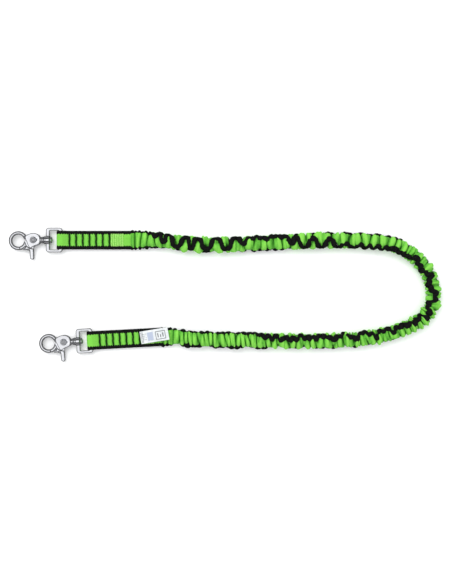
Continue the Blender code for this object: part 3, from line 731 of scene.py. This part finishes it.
def sleeve_centreline():
    """Dense points on a smooth curve through the route, from tape to tape, and their distances.

    Each stretch blends the lines through its neighbouring knots in three rounds, with knots
    timed by the roots of their distances (a centripetal Catmull-Rom curve)."""
    upper, lower = ENDS["upper"], ENDS["lower"]
    start = upper.junction[:2]
    end = lower.junction[:2]
    knots = np.array([start - 0.02 * upper.x[:2], start, *ROUTE, end, end - 0.02 * lower.x[:2]])

    def blend(t, t_start, t_end, first, second):
        return ((t_end - t) * first + (t - t_start) * second) / (t_end - t_start)

    spans = []
    for knot in range(len(knots) - 3):
        p = knots[knot:knot + 4]
        times = np.concatenate([[0.0], np.cumsum(np.sqrt(np.linalg.norm(np.diff(p, axis=0), axis=1)))])
        t = np.linspace(times[1], times[2], 60, endpoint=False)[:, None]
        a = [blend(t, times[k], times[k + 1], p[k], p[k + 1]) for k in range(3)]
        b = [blend(t, times[k], times[k + 2], a[k], a[k + 1]) for k in range(2)]
        spans.append(blend(t, times[1], times[2], *b))
    dense = np.vstack([*spans, knots[-2:-1]])
    along = distances(dense)
    count = int(round(along[-1] / SLEEVE_STEP)) + 1
    count += 1 - count % 2
    places = np.linspace(0.0, along[-1], count)
    flat = read_at(places, along, dense)
    for k in range(2):
        flat[1:-1, k] = softened(flat[:, k], 8.0)[1:-1]
    return flat, places


def fold_phase(places, pitch, jitter, random):
    """A phase that grows by one turn for each gather, with uneven gathers, and each one's height."""
    ends = [0.0]
    while ends[-1] < places[-1] + 0.03:
        local = np.interp(ends[-1], places, pitch)
        ends.append(ends[-1] + local * (1.0 + jitter * random.uniform(-1.0, 1.0)))
    phase = softened(np.interp(places, ends, np.arange(len(ends))), 3.0) * TAU
    heights = random.uniform(0.55, 1.2, len(ends))
    return phase, softened(np.interp(places, ends, heights), 6.0)


def wander(places, around, pitch, random, turns=3):
    """A smooth random field over the sleeve: waves along it whose phase drifts round it."""
    total = 0.0
    for _ in range(6):
        wave = TAU / (pitch * random.uniform(0.7, 1.5))
        turn = random.integers(-turns, turns + 1)
        total = total + np.cos(places * wave + turn * around + random.uniform(0.0, TAU))
    return total / math.sqrt(3.0)


def pleat(phase, sharpness):
    """Round wide crests with narrow sharp creases between them, from -1 to 1."""
    return 2.0 * np.abs(np.cos(phase / 2.0)) ** sharpness - 1.0


def settled(height):
    """Heights with what would lie below the floor pressed flat on it."""
    return np.maximum(height, FLOOR_SKIN + 0.15 * np.maximum(height, 0.0))


class Gathered:
    """The gathered webbing: how its body and its two thick edges lie along the centreline."""

    def __init__(self, settings):
        self.random = random = np.random.default_rng(7)
        self.flat, self.places = sleeve_centreline()
        places = self.places
        keys = np.array(GATHERS).T
        key_places = keys[0] * places[-1] / keys[0, -1]
        self.pitch, turn, self.swing, self.height, self.fine, self.drift, self.sag = (
            softened(np.interp(places, key_places, column), 12.0) for column in keys[1:]
        )
        tangent = unit(np.gradient(self.flat, axis=0))
        across = tangent[:, ::-1] * (-1.0, 1.0)
        self.frame = np.column_stack([self.flat, across, tangent, np.radians(turn)])
        self.opened = eased(ramp(np.minimum(places, places[-1] - places), 0.0, FLAT_RUN))
        self.width = settings.width
        self.half_width = self.opening(settings.width / 2.0, settings.sleeve_radius)
        self.flat_depth = settings.ply * 1.02
        self.half_depth = self.opening(self.flat_depth, settings.sleeve_radius)
        self.first, self.first_height = fold_phase(places, self.pitch, UNEVEN, random)
        second, self.second_height = fold_phase(places, self.pitch, UNEVEN, random)
        # where the edges swing far, the two faces bulge in turn
        together = ramp(self.swing, 0.40, 0.65)
        turns_apart = np.round(softened((second - self.first - math.pi) / TAU, 30.0)) * TAU
        opposite = self.first + math.pi + softened(turns_apart, 14.0)
        self.second = second * (1.0 - together) + opposite * together

    def opening(self, when_flat, when_round):
        return when_flat * (1.0 - self.opened) + when_round * self.opened

    def laid(self, places, left, up, slide=0.0):
        """Points at sideways and upward distances from the centreline at these places."""
        x, y, ax, ay, tx, ty, plane = np.moveaxis(read_at(places, self.places, self.frame), -1, 0)
        turned = left * np.cos(plane) - up * np.sin(plane)
        upward = left * np.sin(plane) + up * np.cos(plane)
        return np.stack([x + turned * ax + slide * tx, y + turned * ay + slide * ty, upward], axis=-1)

    def body(self):
        """The body's rings, with what its paint needs.

        Round the webbing, v = 0 and v = 1/2 are its edges. On each face the radius grows by a
        pleat of the gather's phase, which fades out at the edges, by finer slanted pleats that
        come and go, and by a slow billow. The arrays run round the webbing and then along it."""
        random, places, opened = self.random, self.places, self.opened
        v = (np.arange(SLEEVE_SIDES) / SLEEVE_SIDES)[:, None]
        around = TAU * v
        face = np.sin(around)
        on_first = np.clip(face, 0.0, 1.0) ** 0.6
        on_second = np.clip(-face, 0.0, 1.0) ** 0.6
        slant = 0.6 * wander(places, around, 0.030, random, 1)
        # the small gathers of the second half lie aslant
        aslant = -1.3 * ramp(places / places[-1], 0.50, 0.80) * opened * np.cos(around)
        first = self.first + slant + aslant
        second = self.second - slant + aslant
        sharpness = 0.74 + 0.46 * ramp(self.pitch, 0.010, 0.015)
        crest = (
            on_first * self.first_height * pleat(first, sharpness)
            + on_second * self.second_height * pleat(second, sharpness)
        )
        even = np.full(len(places), FINE_PITCH)
        fine_phase, fine_height = fold_phase(places, even, 0.35, random)
        other_phase, _ = fold_phase(places, even * 1.35, 0.35, random)
        lean = wander(places, around, 0.022, random, 1)
        swap = np.clip(0.5 + wander(places, around, 0.030, random, 1), 0.0, 1.0)
        fine = (
            swap * fine_height * pleat(fine_phase + 1.3 * lean, 0.7)
            + (1.0 - swap) * pleat(other_phase - 1.5 * lean, 0.7)
        )
        billow = wander(places, around, 0.013, random, 2)
        ripple = wander(places, around, 0.0030, random, 5)
        relief = self.height * crest + self.fine * fine + 0.00042 * opened * billow + 0.00010 * ripple
        # flat webbing rises only upwards, least on its underside; round webbing grows all round
        left = self.half_width * np.cos(around) + relief * np.cos(around) * opened
        up = self.half_depth * face + relief * face * np.where(face < 0.0, 0.35 + 0.65 * opened, 1.0)
        slide = 0.45 * self.pitch / TAU * (on_first * np.sin(first) + on_second * np.sin(second))
        points = self.laid(places, left, up, slide * opened)
        self.rest = np.maximum(0.0004 - softened(points[..., 2].min(axis=0), 14.0), 0.0029)
        points[..., 2] = settled(points[..., 2] + self.rest)
        started = ramp(np.minimum(places, places[-1] - places), 0.0, 0.003)
        width_mm = 2.0 * self.width * 1000.0
        edge = np.minimum(np.minimum(v, np.abs(v - 0.5)), 1.0 - v) * width_mm
        values = {
            "edge_mm": edge + 30.0 * np.clip(opened * 1.6 - 0.3, 0.0, 1.0),
            "across_mm": v * width_mm,
            "along_mm": places * 1000.0 * GATHER_RATIO,
            # painted shading value: lighter where the relief stands out, darker in the creases
            "fold": np.clip((relief - 0.0002) / (self.height + self.fine), -1.0, 1.0) * started,
        }
        values = {key: np.broadcast_to(value, relief.shape).T for key, value in values.items()}
        return np.moveaxis(points, 0, 1), values

    def edge(self, which):
        """The rings and values of one thick edge as it meanders, for each half of the sleeve.

        The edge swings away from the face that bulges, and its places slide by the sine of twice
        the phase, so that the swing has wide crests and steep flanks."""
        sign = 1.0 if which else -1.0
        far = ramp(self.swing, 0.2, 0.6)
        places = self.places + 0.40 * self.pitch / TAU * np.sin(2.0 * self.first) * far
        slow = self.drift * wander(self.places, 0.0, 0.024, self.random)
        angle = math.pi * which + sign * (self.swing * np.cos(self.first) - self.sag) + slow
        small = ramp(-self.pitch, -0.012, -0.008)
        bumps = 1.0 + (0.12 + 0.13 * small) * wander(self.places, 0.0, 0.0052, self.random)
        tall = self.opening(self.flat_depth, 0.0019) * bumps
        wide = self.opening(0.0017, 0.0027 - 0.0003 * small) * bumps
        left = (self.half_width - self.opening(0.0017, -EDGE_OUT)) * np.cos(angle)
        up = (self.half_depth + EDGE_OUT) * self.opened * np.sin(angle)
        path = self.laid(places, left, up)
        out = self.laid(places, left * 1.1, up * 1.1) - path
        path[:, 2] += np.interp(places, self.places, self.rest)
        steps = distances(path)
        table = np.column_stack([path, out, wide, tall])
        middle = steps[len(steps) // 2]
        return [self.edge_rings(steps, table, *part) for part in ((0.0, middle), (middle, steps[-1]))]

    def edge_rings(self, steps, table, start, end):
        """Oval rings along an edge's path, with small knobs."""
        at = np.linspace(start, end, int((end - start) / EDGE_STEP))
        path, out, wide, tall = np.split(read_at(at, steps, table)[:, None], (3, 6, 7), axis=-1)
        ahead = unit(np.gradient(path, axis=0))
        out = unit(out - ahead * (out * ahead).sum(axis=-1, keepdims=True))
        angle = circle(EDGE_SIDES)
        knob = 1.0 + 0.06 * wander(at[:, None], angle, 0.0035, np.random.default_rng(3), 3)
        across = wide * np.cos(angle)[:, None] * np.cross(ahead, out)
        rings = path + knob[..., None] * (across + tall * np.sin(angle)[:, None] * out)
        rings[..., 2] = settled(rings[..., 2])
        return rings, {
            "edge_mm": 0.0, "across_mm": angle * 2.3,
            # painted shading value: the edge's outward side lighter than its inward side
            "along_mm": at[:, None] * 1000.0, "fold": 0.4 * np.sin(angle),
        }


class LANYARD_OT_sleeve(LanyardPiece, bpy.types.Operator):
    """Tubular webbing gathered over the elastic, from one tape to the other"""

    bl_idname = "lanyard.sleeve"
    bl_label = "Gathered sleeve"

    def execute(self, context):
        gathered = Gathered(context.scene.lanyard_webbing)
        body, values = gathered.body()
        edges = [gathered.edge(which) for which in (0, 1)]
        centre = np.column_stack([gathered.flat, gathered.rest])
        middle = len(centre) // 2
        for k, (side, rows) in enumerate((("upper", slice(middle + 1)), ("lower", slice(middle, None)))):
            tubes = [(body[rows], {key: value[rows] for key, value in values.items()})]
            tubes += [halves[k] for halves in edges]
            piece = tubes_piece(f"{side}_sleeve_half", tubes, finish("lime_webbing"))
            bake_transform(piece)
            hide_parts("gathered_sleeve", "elastic_core")
            path = centre[rows] if side == "upper" else centre[rows][::-1]
            path = path[::12]
        return {"FINISHED"}


class LANYARD_OT_elastic(LanyardPiece, bpy.types.Operator):
    """Finishes the elastic's sewn tails and the trigger springs"""

    bl_idname = "lanyard.elastic"
    bl_label = "Elastic and springs"

    def execute(self, context):
        for side in ENDS:
            for part, coat in (("elastic_tail", "elastic_cover"), ("torsion_spring", "spring_steel")):
                for slot in frame["nodes"][f"{side}_{part}"].material_slots:
                    slot.material = finish(coat)
        return {"FINISHED"}


# ---- tapes ----
TACK_PUCKER = 0.00045  # how far a row of stitches draws the webbing in
TAPE_SIDES = 72
BEND_RADIUS = 0.00245  # the inside of the webbing's turn round the bar
CLOSING = 0.0010  # how far before the first tack the two layers meet


def tape_line(end, ply):
    """The middle of the webbing in the tape's side view, from the lower layer's rear, round the
    bar, to the upper layer's rear: straight runs, eased slopes and an arc round the bar."""
    bottom = end.underside + ply / 2.0
    top = bottom + ply + PLY_GAP
    radius = BEND_RADIUS + ply / 2.0
    close = end.tacks[0] - CLOSING
    slope = np.linspace(close, 0.0, 40)[1:-1]
    along = np.concatenate([np.linspace(end.tape_length, close, 240), slope])
    ease = eased(np.minimum(along / close, 1.0))
    turn = np.radians(np.linspace(270.0, 90.0, 40))
    lower = np.column_stack([along, -radius + (bottom + radius) * ease])
    upper = np.column_stack([along, radius + (top - radius) * ease])
    return np.concatenate([lower, radius * np.column_stack([np.cos(turn), np.sin(turn)]), upper[::-1]])


class LANYARD_OT_tapes(LanyardPiece, bpy.types.Operator):
    """Webbing folded round each eye's bar and sewn flat"""

    bl_idname = "lanyard.tapes"
    bl_label = "End tapes"

    def execute(self, context):
        for seed, side in enumerate(ENDS, 11):
            self.tape(side, ENDS[side], context.scene.lanyard_webbing, np.random.default_rng(seed))
        return {"FINISHED"}

    def tape(self, side, end, settings, random):
        """An oblong with round edges carried along the tape's line, drawn in at the stitches."""
        line = tape_line(end, settings.ply)
        steps = distances(line)
        # outward is away from the bar: below on the lower layer, above on the upper one
        out = unit(np.gradient(line, axis=0))[:, ::-1] * (-1.0, 1.0)
        cos, sin = np.cos(circle(TAPE_SIDES)), np.sin(circle(TAPE_SIDES))
        wide = np.sign(cos) * np.abs(cos) ** 0.28
        thick = np.sign(sin) * np.abs(sin) ** 0.55
        from_edge = 1.0 - np.abs(wide)

        def drawn(rows, width):
            return np.exp(-((line[:, :1] - rows) / width) ** 2).sum(axis=1)[:, None]

        pucker = drawn(end.tacks, 0.0014) + 0.45 * drawn(end.seam_rows, 0.0006)
        inner = ramp(from_edge, 0.24, 0.39)
        roll = 1.0 + 0.16 * np.exp(-(from_edge / 0.22) ** 2)
        offset = settings.ply / 2.0 * thick * roll - TACK_PUCKER * pucker * inner * (thick > 0.0)
        wobble = 1.0 + 0.00352 * softened(random.standard_normal(len(line)), 5.0)[:, None]
        half = settings.width / 2.0
        x, z = (line[:, k:k + 1] + offset * out[:, k:k + 1] for k in range(2))
        rings = end.to_world(np.stack([x, half * wide * wobble, z], axis=-1), end.bar)
        values = {
            "edge_mm": from_edge * half * 1000.0,
            "across_mm": wide * half * 1000.0,
            "along_mm": steps[:, None] * 1000.0,
            # painted shade: the webbing darker where the stitches draw it in, evenly lit elsewhere
            "fold": 0.55 - 0.8 * np.clip(pucker, 0.0, 1.0) * inner,
        }
        piece = tubes_piece(f"{side}_sewn_tape", [(rings, values)], finish("lime_webbing"))
        placed(piece, f"{side}_end", f"{side}_end_tape")


# ---- stitching ----
STITCH_HALF = 0.0066  # half the length of a row of stitches across the tape
TACK_THREAD, SEAM_THREAD, LABEL_THREAD = 0.00060, 0.00042, 0.00016  # radii


def zigzag(place, swing, pitch, height, wave=0.0):
    """Points of a zigzag seam across the tape at one place along it."""
    across = np.linspace(-STITCH_HALF, STITCH_HALF, 2 * int(round(2.0 * STITCH_HALF / pitch)) + 1)
    turn = np.where(np.arange(len(across)) % 2, 1.0, -1.0)
    along = place + turn * swing + wave * np.sin(across * 900.0)
    return np.column_stack([along, across, height - 0.00010 * (turn < 0.0)])


class LANYARD_OT_stitching(LanyardPiece, bpy.types.Operator):
    """Black bar tacks and the lime rows that hold the elastic"""

    bl_idname = "lanyard.stitching"
    bl_label = "Stitching"

    def execute(self, context):
        for side, end in ENDS.items():
            bottom = end.underside
            top = bottom + 2.0 * context.scene.lanyard_webbing.ply + PLY_GAP
            for k, place in enumerate(end.tacks, 1):
                heights = (top + 0.00010, bottom - 0.00005)
                rows = [zigzag(place, 0.00062, 0.0010, height, wave=0.0003) for height in heights]
                paths = [end.to_world(row, end.bar) for row in rows]
                sewn(side, f"{side}_bar_tack_{k}", paths, TACK_THREAD, 6, "black_thread")
            heights = (top - 0.00005, bottom + 0.00010)
            rows = [zigzag(place, 0.00046, 0.0011, height) for place in end.seam_rows for height in heights]
            paths = [end.to_world(row, end.bar) for row in rows]
            sewn(side, f"{side}_elastic_seam", paths, SEAM_THREAD, 5, "lime_thread")
        return {"FINISHED"}


# ---- label ----
LABEL_THICK = 0.00022


class LANYARD_OT_label(LanyardPiece, bpy.types.Operator):
    """Care label over the lower junction, with its seam"""

    bl_idname = "lanyard.label"
    bl_label = "Care label"

    def execute(self, context):
        origin, along, across = self.plate()
        long, wide = (float(np.linalg.norm(side)) for side in (along, across))
        u, w = np.meshgrid(np.linspace(0.0, 1.0, 60), np.linspace(0.0, 1.0, 28), indexing="ij")
        curl = 0.0007 * np.sin(u * 7.0 + w * 1.5) * u + 0.0016 * (w - 0.5) ** 2 * np.sin(u * 9.0)
        top = origin + u[..., None] * along + w[..., None] * across
        top[..., 2] += 0.0004 + curl * np.clip(u * 3.0, 0.0, 1.0)
        under = top - (0.0, 0.0, LABEL_THICK)
        rings, u, w = (np.concatenate([a, b[:, ::-1]], axis=1) for a, b in ((top, under), (u, u), (w, w)))
        values = {"along_mm": u * long * 1000.0, "across_mm": w * wide * 1000.0}
        piece = tubes_piece("printed_care_label", [(rings, values)], finish("printed_label"))
        placed(piece, "lower_end", "care_label")
        t = np.linspace(0.08, 0.92, 41)[:, None]
        wave = (0.00052 + 0.00014 * np.sin(t * 60.0)) * (0.0, 0.0, 1.0)
        paths = [origin + along / long * inset + across * t + wave for inset in (0.0013, 0.0027)]
        sewn("lower", "label_seam", paths, LABEL_THREAD, 6, "black_thread")
        return {"FINISHED"}

    def plate(self):
        """The label's lower left corner and its two sides, from the top of its CAD plate."""
        points = np.unique(np.round(vertices_of("care_label"), 7), axis=0)
        points = points[np.argsort(ENDS["lower"].to_local(points)[:, 0])]
        left, right = (half[np.argsort(half[:, 1])] for half in (points[:4], points[4:]))
        low, high, far = (pair[np.argmax(pair[:, 2])] for pair in (left[:2], left[2:], right[:2]))
        return low, far - low, high - low


# ---- hooks ----
# outlines and angles lie in the hook's plane, from the pivot, with the neck towards +X
RING_X, RING_Y = -0.0166, -0.00065
CHEEK_HALF = 0.0035
FILLET = 0.0003  # rounding where a tool cuts into the casting
CHEEK = curve_through([
    (0.0070, 0.0031), (0.0052, 0.0058), (0.0020, 0.0073), (-0.0020, 0.0073), (-0.0060, 0.0058),
    (-0.0085, 0.0040), (-0.0085, 0.0012), (-0.0073, -0.0016), (-0.0060, -0.0048), (-0.0044, -0.0080),
    (-0.0029, -0.0088), (-0.0010, -0.0077), (0.0015, -0.0064), (0.0048, -0.0052), (0.0070, -0.0032),
])
SLOT = [
    (0.0053, 0.0045), (-0.0025, 0.0045), (-0.0125, -0.0008), (-0.0125, -0.0120), (0.0095, -0.0120),
    (0.0053, -0.0022),
]
RING_ENDS = (281.7, 372.0)  # where the ring is open for the gate
GATE_ENDS = (284.3, 349.0)
LEVER = [
    (-0.0043, -0.0088), (-0.0002, -0.0092), (0.0003, -0.0130), (0.0005, -0.0195), (-0.0002, -0.0208),
    (-0.0018, -0.0211), (-0.0033, -0.0205), (-0.0038, -0.0190), (-0.0040, -0.0130), (-0.0045, -0.0104),
    (-0.0062, -0.0101), (-0.0096, -0.0109), (-0.0118, -0.0108), (-0.0085, -0.0085), (-0.0080, -0.0060),
]
WEB = curve_through([
    (0.0042, 0.0000), (0.0030, 0.0030), (0.0000, 0.0042), (-0.0034, 0.0036), (-0.0070, 0.0014),
    (-0.0099, -0.0012), (-0.0112, -0.0056), (-0.0094, -0.0092), (-0.0034, -0.0124), (-0.0004, -0.0122),
    (0.0004, -0.0080), (0.0012, -0.0046), (0.0034, -0.0026),
])


def ring_distance(x, y, z, inner, outer, half, edge):
    """A band of the ring with a rounded section."""
    radius = np.hypot(x - RING_X, y - RING_Y)
    return slab(np.abs(radius - (inner + outer) / 2.0) - (outer - inner) / 2.0, z, half, edge)


def arc_distance(x, y, start, end):
    """Distance round the ring to the arc from start to end in degrees, negative on it."""
    angle = np.degrees(np.arctan2(y - RING_Y, x - RING_X))
    away = np.abs((angle - (start + end) / 2.0 + 180.0) % 360.0 - 180.0)
    return np.radians(away - (end - start) / 2.0) * np.hypot(x - RING_X, y - RING_Y)


class LANYARD_OT_hooks(LanyardPiece, bpy.types.Operator):
    """Cast hook: ring, cheeks with the trigger's slot, and neck"""

    bl_idname = "lanyard.hooks"
    bl_label = "Hook bodies"

    def execute(self, context):
        settings = context.scene.lanyard_hardware

        def field(x, y, z):
            ring = ring_distance(x, y, z, settings.ring_inner, settings.ring_outer, 0.0023, 0.0018)
            ring = np.maximum(ring, -arc_distance(x, y, *RING_ENDS))
            plate = slab(outline_distance(x, y, CHEEK), z, CHEEK_HALF, 0.0009)
            neck = rod(x, y, z, 0.0045, 0.0108, 0.0031, 0.0005)
            collar = rod(x, y, z, 0.0094, 0.0108, 0.0036, 0.0005)
            solid = blended(blended(plate, ring, 0.0014), neck, 0.0016)
            solid = blended(solid, collar, 0.0006)
            solid = carved(solid, slab(outline_distance(x, y, SLOT), z, 0.0015, 0.0002), FILLET)
            boss = slab(np.hypot(x, y) - 0.0034, np.abs(z) - CHEEK_HALF - 0.0006, 0.0009, 0.0002)
            return carved(solid, boss, FILLET)

        low, high = (-0.0272, -0.0114, -0.0036), (0.0112, 0.0100, 0.0036)
        cast_pieces("hook", field, low, high, "chrome", "hook", "hook_body")
        return {"FINISHED"}


class LANYARD_OT_triggers(LanyardPiece, bpy.types.Operator):
    """Gate, web and thumb lever in one casting"""

    bl_idname = "lanyard.triggers"
    bl_label = "Triggers"

    def execute(self, context):
        settings = context.scene.lanyard_hardware

        def field(x, y, z):
            ring = ring_distance(x, y, z, settings.ring_inner, settings.ring_outer + 0.0002, 0.0022, 0.0018)
            gate = np.maximum(ring, arc_distance(x, y, *GATE_ENDS))
            paddle = slab(outline_distance(x, y, LEVER), z, 0.0022, 0.0010)
            thick = carved(blended(gate, paddle, 0.0012), np.hypot(x, y) - 0.0095, 0.0007)
            return blended(thick, slab(outline_distance(x, y, WEB), z, 0.0012, 0.0003), 0.0006)

        low, high = (-0.0190, -0.0216, -0.0024), (0.0046, 0.0048, 0.0024)
        cast_pieces("trigger", field, low, high, "satin_chrome", "gate", "trigger")
        return {"FINISHED"}


class LANYARD_OT_eyes(LanyardPiece, bpy.types.Operator):
    """Rectangular swivel eye with its barrel"""

    bl_idname = "lanyard.eyes"
    bl_label = "Swivel eyes"

    def execute(self, context):
        opening = 0.0119  # bar centre to the far side of the opening

        def oblong(x, y, start, end, half, corner):
            return rounded(np.abs(x - (start + end) / 2.0) - (end - start) / 2.0, np.abs(y) - half, corner)

        def field(x, y, z):
            outer = oblong(x, y, -0.0158, 0.0018, 0.0132, 0.0028)
            inner = oblong(x, y, -opening, -0.0018, 0.0104, 0.0012)
            loop = slab(np.maximum(outer, -inner), z, 0.0018, 0.0009)
            barrel = rod(x, y, z, -0.0181, -opening, 0.0042, 0.0008)
            groove = np.hypot(np.hypot(y, z) - 0.0045, x + 0.0166) - 0.0005
            solid = carved(blended(loop, barrel, 0.0012), groove, FILLET)
            return carved(solid, rod(x, y, z, -0.0220, -0.0080, 0.0021, 0.0001), FILLET)

        low, high = (-0.0184, -0.0134, -0.0044), (0.0020, 0.0134, 0.0044)
        cast_pieces("eye", field, low, high, "chrome", "eye", "swivel_eye")
        return {"FINISHED"}


class LANYARD_OT_pins(LanyardPiece, bpy.types.Operator):
    """Swivel pins and pivot rivets, turned from bar"""

    bl_idname = "lanyard.pins"
    bl_label = "Pins and rivets"

    def execute(self, context):
        dome = np.radians(np.linspace(0.0, 88.0, 12))
        shank = [(0.0069, 0.0016), (0.0070, 0.0018), (0.0176, 0.0018), (0.0176, 0.0028)]
        head = [(0.0179, 0.0031), (0.0184, 0.0033)]
        head += [(0.0190 + 0.0013 * math.sin(a), 0.0033 * math.cos(a)) for a in dome]
        half = [
            (0.0038, 0.0015), (0.0038, 0.0026), (0.0039, 0.0028), (0.0042, 0.0028), (0.0043, 0.0027),
            (0.0043, 0.0022), (0.0040, 0.0020), (0.0040, 0.0016), (0.0043, 0.0014), (0.0043, 0.0006),
            (0.0041, 0.0004), (0.0041, 0.0001),
        ]
        rivet = [(-h, r) for h, r in reversed(half)] + half
        for side, end in ENDS.items():
            for name, profile, axis in (("swivel_pin", shank + head, 0), ("pivot_rivet", rivet, 2)):
                rings = end.to_world(self.turned(profile, axis), end.pivot)
                piece = tubes_piece(f"{side}_{name}_turned", [(rings, {})], finish("spring_steel"))
                placed(piece, f"{side}_hook", f"{side}_{name}")
        return {"FINISHED"}

    def turned(self, profile, axis, sides=40):
        """A profile of (distance, radius) points turned round the X or Z axis."""
        along, radius = (np.array(profile)[:, k:k + 1] + np.zeros(sides) for k in range(2))
        rings = [radius * np.cos(circle(sides)), radius * np.sin(circle(sides))]
        rings.insert(axis, along)
        return np.stack(rings, axis=-1)


# ---- panel and registration ----
GROUPS = {
    "lanyard_webbing": LanyardWebbing, "lanyard_hardware": LanyardHardware, "lanyard_stage": LanyardStage,
}
OPERATORS = (
    LANYARD_OT_stage, LANYARD_OT_sleeve, LANYARD_OT_elastic, LANYARD_OT_tapes, LANYARD_OT_stitching,
    LANYARD_OT_label, LANYARD_OT_hooks, LANYARD_OT_triggers, LANYARD_OT_eyes, LANYARD_OT_pins,
)


class LANYARD_PT_panel(bpy.types.Panel):
    """Builds the lanyard piece by piece"""

    bl_idname = "LANYARD_PT_panel"
    bl_label = "Shock Absorbing Lanyard"
    bl_space_type = "VIEW_3D"
    bl_region_type = "UI"
    bl_category = "Lanyard"

    def draw(self, context):
        column = self.layout.column()
        for settings, group in GROUPS.items():
            for name in group.__annotations__:
                column.prop(getattr(context.scene, settings), name)
        for operator in OPERATORS:
            column.operator(operator.bl_idname)


CLASSES = (*GROUPS.values(), *OPERATORS, LANYARD_PT_panel)


def register():
    for made in CLASSES:
        bpy.utils.register_class(made)
    for name, group in GROUPS.items():
        setattr(bpy.types.Scene, name, bpy.props.PointerProperty(type=group))


def unregister():
    for name in GROUPS:
        delattr(bpy.types.Scene, name)
    for made in reversed(CLASSES):
        bpy.utils.unregister_class(made)


def main():
    """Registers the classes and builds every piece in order."""
    register()
    for operator in OPERATORS:
        group, name = operator.bl_idname.split(".")
        getattr(getattr(bpy.ops, group), name)()


if __name__ == "__main__":
    main()
